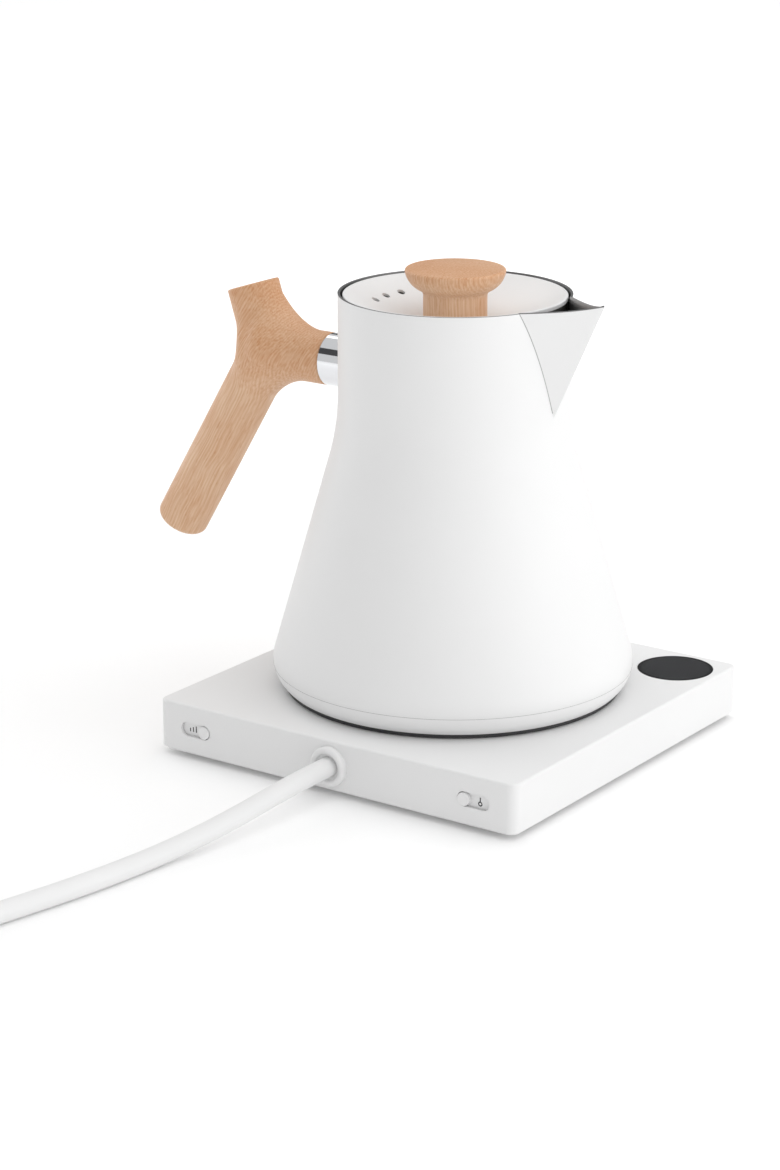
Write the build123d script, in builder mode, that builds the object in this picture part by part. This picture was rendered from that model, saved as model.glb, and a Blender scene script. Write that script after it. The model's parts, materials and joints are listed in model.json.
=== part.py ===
from build123d import *
import os
from math import asin, cos, pi, radians, sin, sqrt, tan

# Electric kettle: a conical steel vessel with a folded V spout, a wooden Y handle and a wooden lid
# knob, standing on a square power base with a display, a control dial, two slide switches and a cord.
# Millimetres. Origin on the floor under the vessel's axis, which is also the middle of the base.
# +X points along the spout, -X along the handle, -Y is the base's cord side and +Z is up.

# ---------------------------------------------------------------- power base
base_side = 171.0
base_top_z = 23.0
base_corner_r = 4.0
base_edge_r = 1.0
housing_wall = 2.5
housing_low_z = 3.2
foot_height = 2.0
foot_r = 6.0
foot_sink = 1.0
foot_inset = 14.0
foot_bevel = 0.4
plate_lip = 0.8
plate_t = 1.5
plate_edge_r = 0.8
fit_gap = 0.3
boss_r = 3.6
boss_roof = 1.0
boss_x = 70.0
boss_y = 30.0
screw_shank_r = 1.4
screw_head_r = 2.8
screw_head_t = 1.6
screw_end_gap = 2.0
recess_length = 4.0
recess_width = 0.7
recess_depth = 1.1

# ---------------------------------------------------------------- display and control dial
corner_inset = 19.0
window_r = 15.6
window_t = 1.6
window_ledge = 1.6
module_side = 27.0
module_t = 3.3
module_pin_r = 1.0
module_pin_inset = 3.0
board_t = 1.6
control_board_size = (158.0, 28.0)
control_board_z = 9.0
standoff_inset = 5.0
dial_r = 15.0
dial_height = 9.5
dial_lift = 1.4
dial_wall = 2.0
dial_hub_r = 5.5
dial_edge_r = 1.2
shaft_r = 3.0
shaft_flat = 1.8
shaft_engage = 7.0
encoder_side = 12.5
encoder_t = 6.5
encoder_floor_t = 1.0
encoder_neck_wall = 2.0
plunger_t = 1.3
press_travel = 0.8

# ---------------------------------------------------------------- slide switches
switch_x = 66.8
switch_z = 12.8
slot_length = 14.6
slot_width = 6.0
slot_skin = 1.2
nub_r = 2.65
nub_proud = 0.7
carrier_length = 24.4
carrier_width = 8.0
carrier_t = 0.8
nub_edge_r = 0.4
switch_body_size = (21.0, 6.5, 8.0)
lever_side = 2.0
lever_reach = 2.0
lever_groove_depth = 3.0

# ---------------------------------------------------------------- power coupler
coupler_r = 18.5
coupler_height = 10.5
coupler_edge_r = 1.5
coupler_screws_count = 3
coupler_flange_r = 27.0
coupler_flange_t = 3.2
groove_in_r = 8.0
groove_out_r = 12.4
groove_floor_lift = 0.6
contact_t = 0.8
contact_sink = 2.0
contact_lift = 1.5
pin_r = 2.5
pin_hole_r = 3.6
ring_contact_r = 10.0
ring_contact_t = 1.4
socket_wall = 6.8
socket_roof_t = 2.6
socket_head_gap = 1.4
socket_flange_r = 28.6
socket_flange_t = 1.5

# ---------------------------------------------------------------- vessel
neck_r = 46.5
cone_half_angle = 15.72
neck_corner_z = base_top_z + 108.6
neck_blend_r = 100.0
rim_z = base_top_z + 162.2
round_r = 12.6
round_z = base_top_z + 11.5
seam_z = base_top_z + 9.6
seam_bevel = 0.25
wall_t = 1.0
band_t = 2.2
band_low_z = base_top_z + 1.9
vessel_floor_z = base_top_z + 21.0
vessel_floor_t = 1.0
floor_flange = 4.0

# ---------------------------------------------------------------- heater and underside
spreader_r = 50.0
spreader_t = 5.0
element_ring_r = 36.0
element_r = 3.3
element_sink = 0.5
element_sweep = 325.0
element_pin_r = 1.8
element_pin_length = 7.3
sensor_r = 3.0
cutout_r = 5.2
cutout_t = 5.0
cover_t = 2.6
cover_ring_r = 68.4
cover_ring_width = 5.9
cover_recess = 1.1
cover_boss_r = 3.6
cover_boss_ring_r = 58.0
cover_screws_count = 3
cover_rib_length = 12.0
cover_rib_width = 3.0

# ---------------------------------------------------------------- spout
spout_tip_x = 68.7
spout_tip_z = base_top_z + 164.9
spout_apex_z = base_top_z + 115.0
spout_plan_half_angle = 37.4
spout_sheet_t = 0.8
spout_lip_mid_x = 56.0
spout_lip_mid_rise = 0.55
spout_lip_slope = 0.25
spout_trim = 20.0

# ---------------------------------------------------------------- handle
handle_z = base_top_z + 127.2
ferrule_r = 10.85
ferrule_wall = 2.0
ferrule_end_x = -60.3
ferrule_bevel = 0.3
handle_joint_x = -92.0
grip_r = 11.0
grip_length = 95.3
grip_lean = 30.9
grip_end_round = 2.5
stub_r = 10.75
stub_length = 27.8
stub_lean = 17.8
stub_end_round = 1.0
stud_r = 3.0
stud_foot_r = 8.0
stud_foot_t = 2.0
stud_reach = 22.0
stud_gap = 0.05
crotch_round = 11.0

# ---------------------------------------------------------------- lid
lid_gap = 0.9
lid_top_drop = 0.3
lid_sheet_t = 1.0
lid_edge_width = 1.1
lid_edge_depth = 1.6
lid_edge_r = 0.5
lid_dish_depth = 10.8
lid_seat_r = 14.0
lid_dish_bulge = 2.6
lid_dish_mid_r = 29.0
vent_r = 1.6
vent_ring_r = 33.4
vent_step = 15.4
skirt_inset = 0.3
skirt_t = 0.7
skirt_depth = 25.0
baffle_t = 0.8
baffle_hole_r = 2.0
baffle_ring_r = 26.0
baffle_holes = 8
seal_height = 3.0
seal_lift = 3.0

# ---------------------------------------------------------------- lid knob
knob_r = 20.0
knob_stem_r = 12.7
knob_neck_z = base_top_z + 161.0
knob_neck_mid = (knob_stem_r + 0.4, knob_neck_z + 1.45)
knob_bowl_low = (knob_stem_r + 1.5, knob_neck_z + 2.5)
knob_widest_z = base_top_z + 170.8
knob_bowl_mid = (knob_r - 1.75, knob_widest_z - 4.1)
knob_rim_r = knob_r - 0.8
knob_rim_z = knob_widest_z + 1.2
knob_edge_mid = (knob_r - 0.2, knob_widest_z + 0.8)
knob_crown = 1.0
knob_top_z = knob_rim_z + knob_crown
knob_screw_r = 2.0
knob_screw_head_r = 3.8
knob_screw_head_t = 2.4
knob_screw_reach = 12.0
knob_washer_r = 8.0
knob_washer_t = 1.0

# ---------------------------------------------------------------- boards inside the base
power_board_size = (92.0, 34.0)
power_board_y = -48.0
power_board_z = 7.5
relay_size = (19.0, 15.0, 10.8)
relay_x = -24.0
transformer_size = (22.0, 20.0, 10.2)
transformer_x = 20.0
winding_width = 16.0
core_depth = 12.0
core_lift = 2.0
corner_bevel = 0.6
lead_r = 1.1
lead_pitch = 4.0
lead_bend_r = 2.0
lead_inset = 3.0

# ---------------------------------------------------------------- cord, grommet and plug
cord_r = 4.0
cord_exit_z = 12.5
grommet_r = 8.1
grommet_proud = 3.0
grommet_waist_r = 6.6
grommet_flange_r = 7.6
grommet_flange_t = 1.5
grommet_cup_r = 5.3
grommet_cup_depth = 2.0
grommet_bore_gap = 0.05
clamp_size = (17.0, 6.0, 13.0)
clamp_y = -77.0
inner_cord_end_y = -71.0
# The free cord's route: offsets from the exit across the base's face, and heights over the floor.
cord_start_y = -base_side / 2 - grommet_proud + grommet_cup_depth
cord_route = [
    (0.0, 0.0, 12.5),
    (0.0, -26.0, 12.5),
    (-3.2, -57.0, 8.3),
    (-9.6, -88.0, 4.1),
    (-14.2, -126.0, 4.1),
    (-22.5, -164.0, 4.1),
    (-31.0, -200.0, 4.1),
]
coil_outer_r = 44.0
coil_turn_gap = 0.3
coil_height = 16.0
coil_low_z = 0.1
coil_round = 2.8
tail_leave_angle = 200.0
tail_z = 12.2
tail_length = 36.0
relief_length = 24.0
relief_r = 5.6
relief_tip_wall = 0.6
plug_length = 31.0
plug_taper = 19.0
plug_width = 26.0
plug_height = 24.2
plug_back_side = 15.0
plug_round = 4.0
blade_size = (6.35, 1.5, 17.5)
blade_pitch = 12.7
blade_drop = 5.0
earth_pin_r = 2.4
earth_pin_length = 20.5
earth_pin_rise = 11.9


# ---------------------------------------------------------------- profiles
def turned(*corners):
    """Half section in the XZ plane, given as (radius, height) corners."""
    with BuildSketch(Plane.XZ) as section:
        with BuildLine():
            Polyline(*corners, close=True)
        make_face()
    return section.sketch


def tube_section(inner_r, outer_r, low_z, high_z):
    """Half section of a plain ring or, with no inner radius, of a disc."""
    return turned((inner_r, low_z), (outer_r, low_z), (outer_r, high_z), (inner_r, high_z))


lean = radians(cone_half_angle)
round_centre_r = neck_r + (neck_corner_z - round_z) * tan(lean) - round_r / cos(lean)


def wall_radius(z, inset):
    """Radius of the vessel's outer face on the cone or on the round below it, less a skin."""
    bend = round_r - inset
    if z > round_z + bend * sin(lean):
        return neck_r + (neck_corner_z - z) * tan(lean) - inset / cos(lean)
    return round_centre_r + sqrt(bend**2 - (z - round_z) ** 2)


def vessel_section(inset, low_z, high_z):
    """Half section of the vessel from its axis out to its outer face, less a skin."""
    bend = round_r - inset
    tangent_z = round_z + bend * sin(lean)
    arc_top_z = min(high_z, tangent_z)
    low = (wall_radius(low_z, inset), low_z)
    high = (wall_radius(high_z, inset), high_z)
    corner = (neck_r - inset, neck_corner_z - inset * (1 / cos(lean) - 1) / tan(lean))
    with BuildSketch(Plane.XZ) as section:
        with BuildLine():
            start = low
            if low_z < arc_top_z:
                mid_z = (low_z + arc_top_z) / 2
                start = (wall_radius(arc_top_z, inset), arc_top_z)
                ThreePointArc(low, (wall_radius(mid_z, inset), mid_z), start)
            if high_z > corner[1]:
                high = (neck_r - inset, high_z)
                FilletPolyline(start, corner, high, radius=neck_blend_r + inset)
            elif high_z > tangent_z:
                Line(start, high)
            Polyline(high, (0, high_z), (0, low_z), low)
        make_face()
    return section.sketch


# ---------------------------------------------------------------- base: housing and plate
half = base_side / 2
ceiling_z = base_top_z - housing_wall
plate_top_z = housing_low_z + plate_t
window_at = (half - corner_inset, half - corner_inset)
dial_at = (-half + corner_inset, half - corner_inset)
boss_spots = [(x, y) for x in (-boss_x, boss_x) for y in (-boss_y, boss_y)]
foot_reach = half - foot_inset
foot_spots = [(x, y) for x in (-foot_reach, foot_reach) for y in (-foot_reach, foot_reach)]
inner_face_y = -half + housing_wall
carrier_front_y = -half + slot_skin + fit_gap
slide_travel = slot_length - 2 * nub_r - 2 * fit_gap
coupler_screw_ring_r = (coupler_r + coupler_flange_r) / 2

with BuildPart() as base_housing:
    with BuildSketch(Plane.XY.offset(housing_low_z)):
        RectangleRounded(base_side, base_side, base_corner_r)
    extrude(amount=base_top_z - housing_low_z)
    fillet(base_housing.faces().sort_by(Axis.Z)[-1].edges(), base_edge_r)
    with BuildSketch(Plane.XY.offset(housing_low_z)):
        RectangleRounded(base_side - 2 * housing_wall, base_side - 2 * housing_wall, base_corner_r / 2)
    extrude(amount=ceiling_z - housing_low_z, mode=Mode.SUBTRACT)
    with BuildSketch(Plane.XY.offset(plate_top_z)):
        with Locations(*boss_spots):
            Circle(boss_r)
    extrude(amount=ceiling_z - plate_top_z)
    with BuildSketch(Plane.XY.offset(plate_top_z)):
        with Locations(*boss_spots):
            Circle(screw_shank_r)
    extrude(amount=ceiling_z - plate_top_z - boss_roof, mode=Mode.SUBTRACT)
    with BuildSketch(Plane.XY.offset(base_top_z)):
        with Locations(window_at):
            Circle(window_r + fit_gap / 2)
    extrude(amount=-window_t, mode=Mode.SUBTRACT)
    with BuildSketch(Plane.XY.offset(base_top_z)):
        with Locations(window_at):
            Circle(window_r - window_ledge)
        with Locations(dial_at):
            Circle(shaft_r + 2 * fit_gap)
        Circle(coupler_r + fit_gap / 2)
    extrude(amount=-housing_wall, mode=Mode.SUBTRACT)
    with BuildSketch(Plane.XY.offset(ceiling_z)):
        with PolarLocations(coupler_screw_ring_r, coupler_screws_count, start_angle=90):
            Circle(screw_shank_r)
    extrude(amount=housing_wall / 2, mode=Mode.SUBTRACT)
    with BuildSketch(Plane.XZ.offset(half)):
        with Locations((-switch_x, switch_z), (switch_x, switch_z)):
            SlotOverall(slot_length, slot_width)
        with Locations((0, cord_exit_z)):
            Circle(grommet_waist_r)
    extrude(amount=-housing_wall, mode=Mode.SUBTRACT)
    with BuildSketch(Plane.XZ.offset(half - slot_skin)):
        with Locations((-switch_x, switch_z), (switch_x, switch_z)):
            Rectangle(slide_travel + carrier_length + 2 * fit_gap, carrier_width + 2 * fit_gap)
    extrude(amount=slot_skin - housing_wall, mode=Mode.SUBTRACT)

with BuildPart() as base_bottom_plate:
    with BuildSketch(Plane.XY.offset(foot_height)):
        RectangleRounded(base_side - 2 * plate_lip, base_side - 2 * plate_lip, base_corner_r)
    extrude(amount=housing_low_z - foot_height)
    fillet(base_bottom_plate.faces().sort_by(Axis.Z)[0].edges(), plate_edge_r)
    plate_inner_side = base_side - 2 * (housing_wall + fit_gap)
    with BuildSketch(Plane.XY.offset(housing_low_z)):
        RectangleRounded(plate_inner_side, plate_inner_side, base_corner_r / 2)
    extrude(amount=plate_t)
    control_spread = [side - 2 * standoff_inset for side in control_board_size]
    with BuildSketch(Plane.XY.offset(plate_top_z)):
        with Locations((0, window_at[1])):
            with GridLocations(*control_spread, 2, 2):
                Circle(boss_r)
    extrude(amount=control_board_z - plate_top_z)
    power_spread = [side - 2 * standoff_inset for side in power_board_size]
    with BuildSketch(Plane.XY.offset(plate_top_z)):
        with Locations((0, power_board_y)):
            with GridLocations(*power_spread, 2, 2):
                Circle(boss_r)
    extrude(amount=power_board_z - plate_top_z)
    with BuildSketch(Plane.XY.offset(foot_height)):
        with Locations(*foot_spots):
            Circle(foot_r)
    extrude(amount=foot_sink, mode=Mode.SUBTRACT)
    with BuildSketch(Plane.XY.offset(foot_height)):
        with Locations(*boss_spots):
            Circle(screw_shank_r + fit_gap / 2)
    extrude(amount=plate_top_z - foot_height, mode=Mode.SUBTRACT)
    with BuildSketch(Plane.XY.offset(foot_height)):
        with Locations(*boss_spots):
            Circle(screw_head_r + fit_gap / 2)
    extrude(amount=screw_head_t, mode=Mode.SUBTRACT)

with BuildPart() as bottom_screws:
    with BuildSketch(Plane.XY.offset(foot_height)):
        with Locations(*boss_spots):
            Circle(screw_head_r)
    extrude(amount=screw_head_t)
    with BuildSketch(Plane.XY.offset(foot_height + screw_head_t)):
        with Locations(*boss_spots):
            Circle(screw_shank_r)
    extrude(amount=ceiling_z - boss_roof - screw_end_gap - foot_height - screw_head_t)
    with BuildSketch(Plane.XY.offset(foot_height)):
        with Locations(*boss_spots):
            Rectangle(recess_length, recess_width)
            Rectangle(recess_width, recess_length)
    extrude(amount=recess_depth, mode=Mode.SUBTRACT)

feet = {}
for number, spot in enumerate(foot_spots, start=1):
    with BuildPart() as foot:
        with BuildSketch(Plane.XY):
            with Locations(spot):
                Circle(foot_r)
        extrude(amount=foot_height + foot_sink)
        chamfer(foot.faces().sort_by(Axis.Z)[0].edges(), foot_bevel)
    feet[f"foot_{number}"] = foot

# ---------------------------------------------------------------- base: display
with BuildPart() as display_window:
    with BuildSketch(Plane.XY.offset(base_top_z)):
        with Locations(window_at):
            Circle(window_r)
    extrude(amount=-window_t)

pin_spread = module_side - 2 * module_pin_inset
with BuildPart() as display_module:
    with BuildSketch(Plane.XY.offset(ceiling_z)):
        with Locations(window_at):
            Rectangle(module_side, module_side)
    extrude(amount=-module_t)
    with BuildSketch(Plane.XY.offset(ceiling_z - module_t)):
        with Locations(window_at):
            with GridLocations(pin_spread, pin_spread, 2, 2):
                Circle(module_pin_r)
    extrude(amount=control_board_z + board_t - ceiling_z + module_t)

with BuildPart() as control_board:
    with BuildSketch(Plane.XY.offset(control_board_z)):
        with Locations((0, window_at[1])):
            Rectangle(*control_board_size)
    extrude(amount=board_t)

# ---------------------------------------------------------------- base: control dial and its encoder
encoder_low_z = control_board_z + board_t
encoder_top_z = encoder_low_z + encoder_t
plunger_low_z = encoder_low_z + encoder_floor_t + press_travel + fit_gap
shaft_low_z = plunger_low_z + plunger_t + fit_gap
dial_low_z = base_top_z + dial_lift
dial_top_z = dial_low_z + dial_height
flat_at = (dial_at[0] + shaft_flat + shaft_r, dial_at[1])

with BuildPart() as dial_encoder:
    with BuildSketch(Plane.XY.offset(encoder_low_z)):
        with Locations(dial_at):
            Rectangle(encoder_side, encoder_side)
    extrude(amount=encoder_t)
    with BuildSketch(Plane.XY.offset(encoder_top_z)):
        with Locations(dial_at):
            Circle(shaft_r + encoder_neck_wall)
    extrude(amount=ceiling_z - encoder_top_z)
    with BuildSketch(Plane.XY.offset(encoder_low_z + encoder_floor_t)):
        with Locations(dial_at):
            Circle(shaft_r + fit_gap)
    extrude(amount=ceiling_z - encoder_low_z, mode=Mode.SUBTRACT)

with BuildPart() as encoder_plunger:
    with BuildSketch(Plane.XY.offset(plunger_low_z)):
        with Locations(dial_at):
            Circle(shaft_r)
    extrude(amount=plunger_t)

with BuildPart() as encoder_shaft:
    with BuildSketch(Plane.XY.offset(shaft_low_z)):
        with Locations(dial_at):
            Circle(shaft_r)
    extrude(amount=dial_low_z - shaft_low_z)
    with BuildSketch(Plane.XY.offset(dial_low_z)):
        with Locations(dial_at):
            Circle(shaft_r)
        with Locations(flat_at):
            Rectangle(2 * shaft_r, 2 * shaft_r, mode=Mode.SUBTRACT)
    extrude(amount=shaft_engage)

with BuildPart() as control_dial:
    with BuildSketch(Plane.XY.offset(dial_low_z)):
        with Locations(dial_at):
            Circle(dial_r)
    extrude(amount=dial_height)
    fillet(control_dial.faces().sort_by(Axis.Z)[-1].edges(), dial_edge_r)
    with BuildSketch(Plane.XY.offset(dial_low_z)):
        with Locations(dial_at):
            Circle(dial_r - dial_wall)
            Circle(dial_hub_r, mode=Mode.SUBTRACT)
    extrude(amount=dial_height - dial_wall, mode=Mode.SUBTRACT)
    with BuildSketch(Plane.XY.offset(dial_low_z)):
        with Locations(dial_at):
            Circle(shaft_r)
        with Locations(flat_at):
            Rectangle(2 * shaft_r, 2 * shaft_r, mode=Mode.SUBTRACT)
    extrude(amount=shaft_engage, mode=Mode.SUBTRACT)

# ---------------------------------------------------------------- base: slide switches
carrier_back_y = carrier_front_y + carrier_t
switch_front_y = carrier_back_y + fit_gap
lever_groove = lever_side + 2 * fit_gap


def slider_nub_x(centre_x):
    """Each nub rests at the end of its slot that is nearer the middle of the base."""
    reach = slide_travel / 2
    return centre_x + reach if centre_x < 0 else centre_x - reach


def slider(centre_x):
    """A nub on a long carrier that stays behind the slot; the carrier's front shows in the slot."""
    nub_x = slider_nub_x(centre_x)
    with BuildPart() as piece:
        with BuildSketch(Plane.XZ.offset(-carrier_front_y)):
            with Locations((nub_x, switch_z)):
                Rectangle(carrier_length, carrier_width)
        extrude(amount=-carrier_t)
        with BuildSketch(Plane.XZ.offset(-carrier_front_y)):
            with Locations((nub_x, switch_z)):
                Circle(nub_r)
        extrude(amount=carrier_front_y + half + nub_proud)
        fillet(piece.faces().sort_by(Axis.Y)[0].edges(), nub_edge_r)
        with BuildSketch(Plane.XZ.offset(-carrier_back_y)):
            with Locations((nub_x, switch_z)):
                Rectangle(lever_side, lever_side)
        extrude(amount=-fit_gap - lever_reach)
    return piece


def switch_body(centre_x):
    """The fixed switch behind the carrier, with a groove that the slider's lever runs in."""
    width, depth, height = switch_body_size
    with BuildPart() as piece:
        with BuildSketch(Plane.XZ.offset(-switch_front_y)):
            with Locations((centre_x, switch_z)):
                Rectangle(width, height)
                Rectangle(slide_travel + lever_groove, lever_groove, mode=Mode.SUBTRACT)
        extrude(amount=-lever_groove_depth)
        with BuildSketch(Plane.XZ.offset(-switch_front_y - lever_groove_depth)):
            with Locations((centre_x, switch_z)):
                Rectangle(width, height)
        extrude(amount=lever_groove_depth - depth)
    return piece


hold_slider = slider(-switch_x)
unit_slider = slider(switch_x)
hold_switch_body = switch_body(-switch_x)
unit_switch_body = switch_body(switch_x)

# ---------------------------------------------------------------- base: power coupler
coupler_top_z = base_top_z + coupler_height
groove_floor_z = ceiling_z + groove_floor_lift
contact_top_z = coupler_top_z - contact_sink

with BuildPart() as base_coupler:
    revolve(tube_section(0, coupler_flange_r, ceiling_z - coupler_flange_t, ceiling_z), Axis.Z)
    revolve(tube_section(0, coupler_r, ceiling_z, coupler_top_z), Axis.Z)
    fillet(base_coupler.edges().group_by(Axis.Z)[-1], coupler_edge_r)
    groove = tube_section(groove_in_r, groove_out_r, groove_floor_z, coupler_top_z)
    revolve(groove, Axis.Z, mode=Mode.SUBTRACT)
    revolve(tube_section(0, pin_hole_r, groove_floor_z, coupler_top_z), Axis.Z, mode=Mode.SUBTRACT)
    with BuildSketch(Plane.XY.offset(ceiling_z - coupler_flange_t)):
        with PolarLocations(coupler_screw_ring_r, coupler_screws_count, start_angle=90):
            Circle(screw_shank_r + fit_gap / 2)
    extrude(amount=coupler_flange_t, mode=Mode.SUBTRACT)

with BuildPart() as coupler_screws:
    with BuildSketch(Plane.XY.offset(ceiling_z - coupler_flange_t)):
        with PolarLocations(coupler_screw_ring_r, coupler_screws_count, start_angle=90):
            Circle(screw_head_r)
    extrude(amount=-screw_head_t)
    with BuildSketch(Plane.XY.offset(ceiling_z - coupler_flange_t)):
        with PolarLocations(coupler_screw_ring_r, coupler_screws_count, start_angle=90):
            Circle(screw_shank_r)
    extrude(amount=coupler_flange_t + housing_wall / 2)

with BuildPart() as coupler_contacts:
    revolve(tube_section(groove_out_r - contact_t, groove_out_r, groove_floor_z, contact_top_z), Axis.Z)
    revolve(tube_section(pin_hole_r - contact_t / 2, pin_hole_r, groove_floor_z, contact_top_z), Axis.Z)

# ---------------------------------------------------------------- kettle: socket over the coupler
socket_bore_r = coupler_r + 2 * fit_gap
socket_r = socket_bore_r + socket_wall
socket_roof_z = coupler_top_z + socket_head_gap
socket_top_z = socket_roof_z + socket_roof_t
socket_low_z = band_low_z - cover_recess / 2
cover_low_z = base_top_z + fit_gap
cover_under_z = cover_low_z + cover_recess
cover_top_z = cover_under_z + cover_t
cover_hole_r = socket_r + fit_gap

with BuildPart() as kettle_socket:
    revolve(tube_section(0, socket_r, socket_low_z, socket_top_z), Axis.Z)
    flange_z = cover_top_z + fit_gap
    revolve(tube_section(0, socket_flange_r, flange_z, flange_z + socket_flange_t), Axis.Z)
    revolve(tube_section(0, socket_bore_r, socket_low_z, socket_roof_z), Axis.Z, mode=Mode.SUBTRACT)

with BuildPart() as socket_contacts:
    contact_low_z = groove_floor_z + contact_lift
    ring_in_r = ring_contact_r - ring_contact_t / 2
    revolve(tube_section(0, pin_r, contact_low_z, socket_roof_z), Axis.Z)
    revolve(tube_section(ring_in_r, ring_in_r + ring_contact_t, contact_low_z, socket_roof_z), Axis.Z)

# ---------------------------------------------------------------- base: boards, leads and cord anchorage
board_top_z = power_board_z + board_t

with BuildPart() as power_board:
    with BuildSketch(Plane.XY.offset(power_board_z)):
        with Locations((0, power_board_y)):
            Rectangle(*power_board_size)
    extrude(amount=board_t)

with BuildPart() as power_relay:
    with BuildSketch(Plane.XY.offset(board_top_z)):
        with Locations((relay_x, power_board_y)):
            Rectangle(relay_size[0], relay_size[1])
    extrude(amount=relay_size[2])
    chamfer(power_relay.edges().filter_by(Axis.Z), corner_bevel)

with BuildPart() as power_transformer:
    with BuildSketch(Plane.XY.offset(board_top_z)):
        with Locations((transformer_x, power_board_y)):
            Rectangle(winding_width, transformer_size[1])
    extrude(amount=transformer_size[2])
    with BuildSketch(Plane.XY.offset(board_top_z + core_lift)):
        with Locations((transformer_x, power_board_y)):
            Rectangle(transformer_size[0], core_depth)
    extrude(amount=transformer_size[2] - 2 * core_lift)


def lead_set(route):
    """Three insulated wires side by side, each along the same route in a YZ plane."""
    with BuildPart() as piece:
        for x in (-lead_pitch, 0, lead_pitch):
            points = [(x, y, z) for y, z in route]
            with BuildLine() as path:
                FilletPolyline(*points, radius=lead_bend_r)
            with BuildSketch(Plane(origin=path.line @ 0, z_dir=path.line % 0)):
                Circle(lead_r)
            sweep(path=path.line)
    return piece


board_back_y = power_board_y - power_board_size[1] / 2
board_front_y = power_board_y + power_board_size[1] / 2
mains_leads = lead_set(
    [
        (inner_cord_end_y, cord_exit_z),
        (board_back_y + lead_inset, cord_exit_z),
        (board_back_y + lead_inset, board_top_z),
    ]
)
coupler_leads = lead_set(
    [
        (-coupler_r, ceiling_z - coupler_flange_t),
        (-coupler_r, cord_exit_z),
        (board_front_y - lead_inset, cord_exit_z),
        (board_front_y - lead_inset, board_top_z),
    ]
)

with BuildPart() as cord_clamp:
    with BuildSketch(Plane.XY.offset(plate_top_z)):
        with Locations((0, clamp_y)):
            Rectangle(clamp_size[0], clamp_size[1])
    extrude(amount=clamp_size[2])
    with BuildSketch(Plane.XZ.offset(-clamp_y - clamp_size[1])):
        with Locations((0, cord_exit_z)):
            Circle(cord_r + grommet_bore_gap)
    extrude(amount=2 * clamp_size[1], mode=Mode.SUBTRACT)

with BuildPart() as inner_cord:
    with BuildSketch(Plane.XZ.offset(-cord_start_y)):
        with Locations((0, cord_exit_z)):
            Circle(cord_r)
    extrude(amount=cord_start_y - inner_cord_end_y)

with BuildPart() as cord_grommet:
    exit_axis = Axis((0, -half, cord_exit_z), (0, -1, 0))
    bore_r = cord_r + grommet_bore_gap
    flange_low = -housing_wall - grommet_flange_t
    crown = (grommet_r - grommet_cup_r) / 2
    crown_low = grommet_proud - crown
    with BuildSketch(Plane(origin=exit_axis.position, x_dir=(1, 0, 0), z_dir=(0, 0, -1))):
        with BuildLine():
            Polyline(
                (bore_r, flange_low),
                (grommet_flange_r, flange_low),
                (grommet_flange_r, -housing_wall),
                (grommet_waist_r, -housing_wall),
                (grommet_waist_r, 0),
                (grommet_r, 0),
                (grommet_r, crown_low),
            )
            ThreePointArc(
                (grommet_r, crown_low), (grommet_r - crown, grommet_proud), (grommet_cup_r, crown_low)
            )
            Polyline(
                (grommet_cup_r, crown_low),
                (bore_r, grommet_proud - grommet_cup_depth),
                (bore_r, flange_low),
            )
        make_face()
    revolve(axis=exit_axis)

# ---------------------------------------------------------------- free cord, its coil and its plug
route = [Vector(x, cord_start_y + y, z) for x, y, z in cord_route]


def corner_radii(points):
    """One radius for each inner point: 0.45 of the shorter run, over the tangent of half the turn."""
    radii = []
    for before, here, after in zip(points, points[1:], points[2:]):
        shorter = min((here - before).length, (after - here).length)
        half_turn = radians((here - before).get_angle(after - here)) / 2
        radii.append(0.45 * shorter / tan(half_turn))
    return radii


cord_radii = corner_radii(route)
with BuildPart() as power_cord:
    with BuildLine() as cord_path:
        FilletPolyline(*route, radius=cord_radii)
    with BuildSketch(Plane(origin=route[0], z_dir=route[1] - route[0])):
        Circle(cord_r)
    sweep(path=cord_path.line)

arrival = (route[-1] - route[-2]).normalized()
coil_centre = route[-1] + Vector(arrival.Y, -arrival.X, 0).normalized() * coil_outer_r
coil_inner_r = coil_outer_r - 2 * cord_r - coil_turn_gap

with BuildPart() as cord_coil:
    with BuildSketch(Plane.XY.offset(coil_low_z)):
        with Locations((coil_centre.X, coil_centre.Y)):
            Circle(coil_outer_r + cord_r)
            Circle(coil_inner_r - cord_r, mode=Mode.SUBTRACT)
    extrude(amount=coil_height)
    fillet(cord_coil.edges(), coil_round)

leave = radians(tail_leave_angle)
tail_direction = Vector(sin(leave), -cos(leave), 0)
tail_r = (coil_outer_r + coil_inner_r) / 2
tail_foot = coil_centre + Vector(tail_r * cos(leave), tail_r * sin(leave), 0)
tail_start = Vector(tail_foot.X, tail_foot.Y, tail_z)
relief_start = tail_start + tail_direction * tail_length
plug_start = relief_start + tail_direction * relief_length
plug_grip = plug_start + tail_direction * plug_taper
plug_face = plug_start + tail_direction * plug_length
plug_side = tail_direction.cross(Vector(0, 0, 1))

with BuildPart() as cord_tail:
    with BuildSketch(Plane(origin=tail_start, x_dir=plug_side, z_dir=tail_direction)):
        Circle(cord_r)
    extrude(amount=tail_length)

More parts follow.
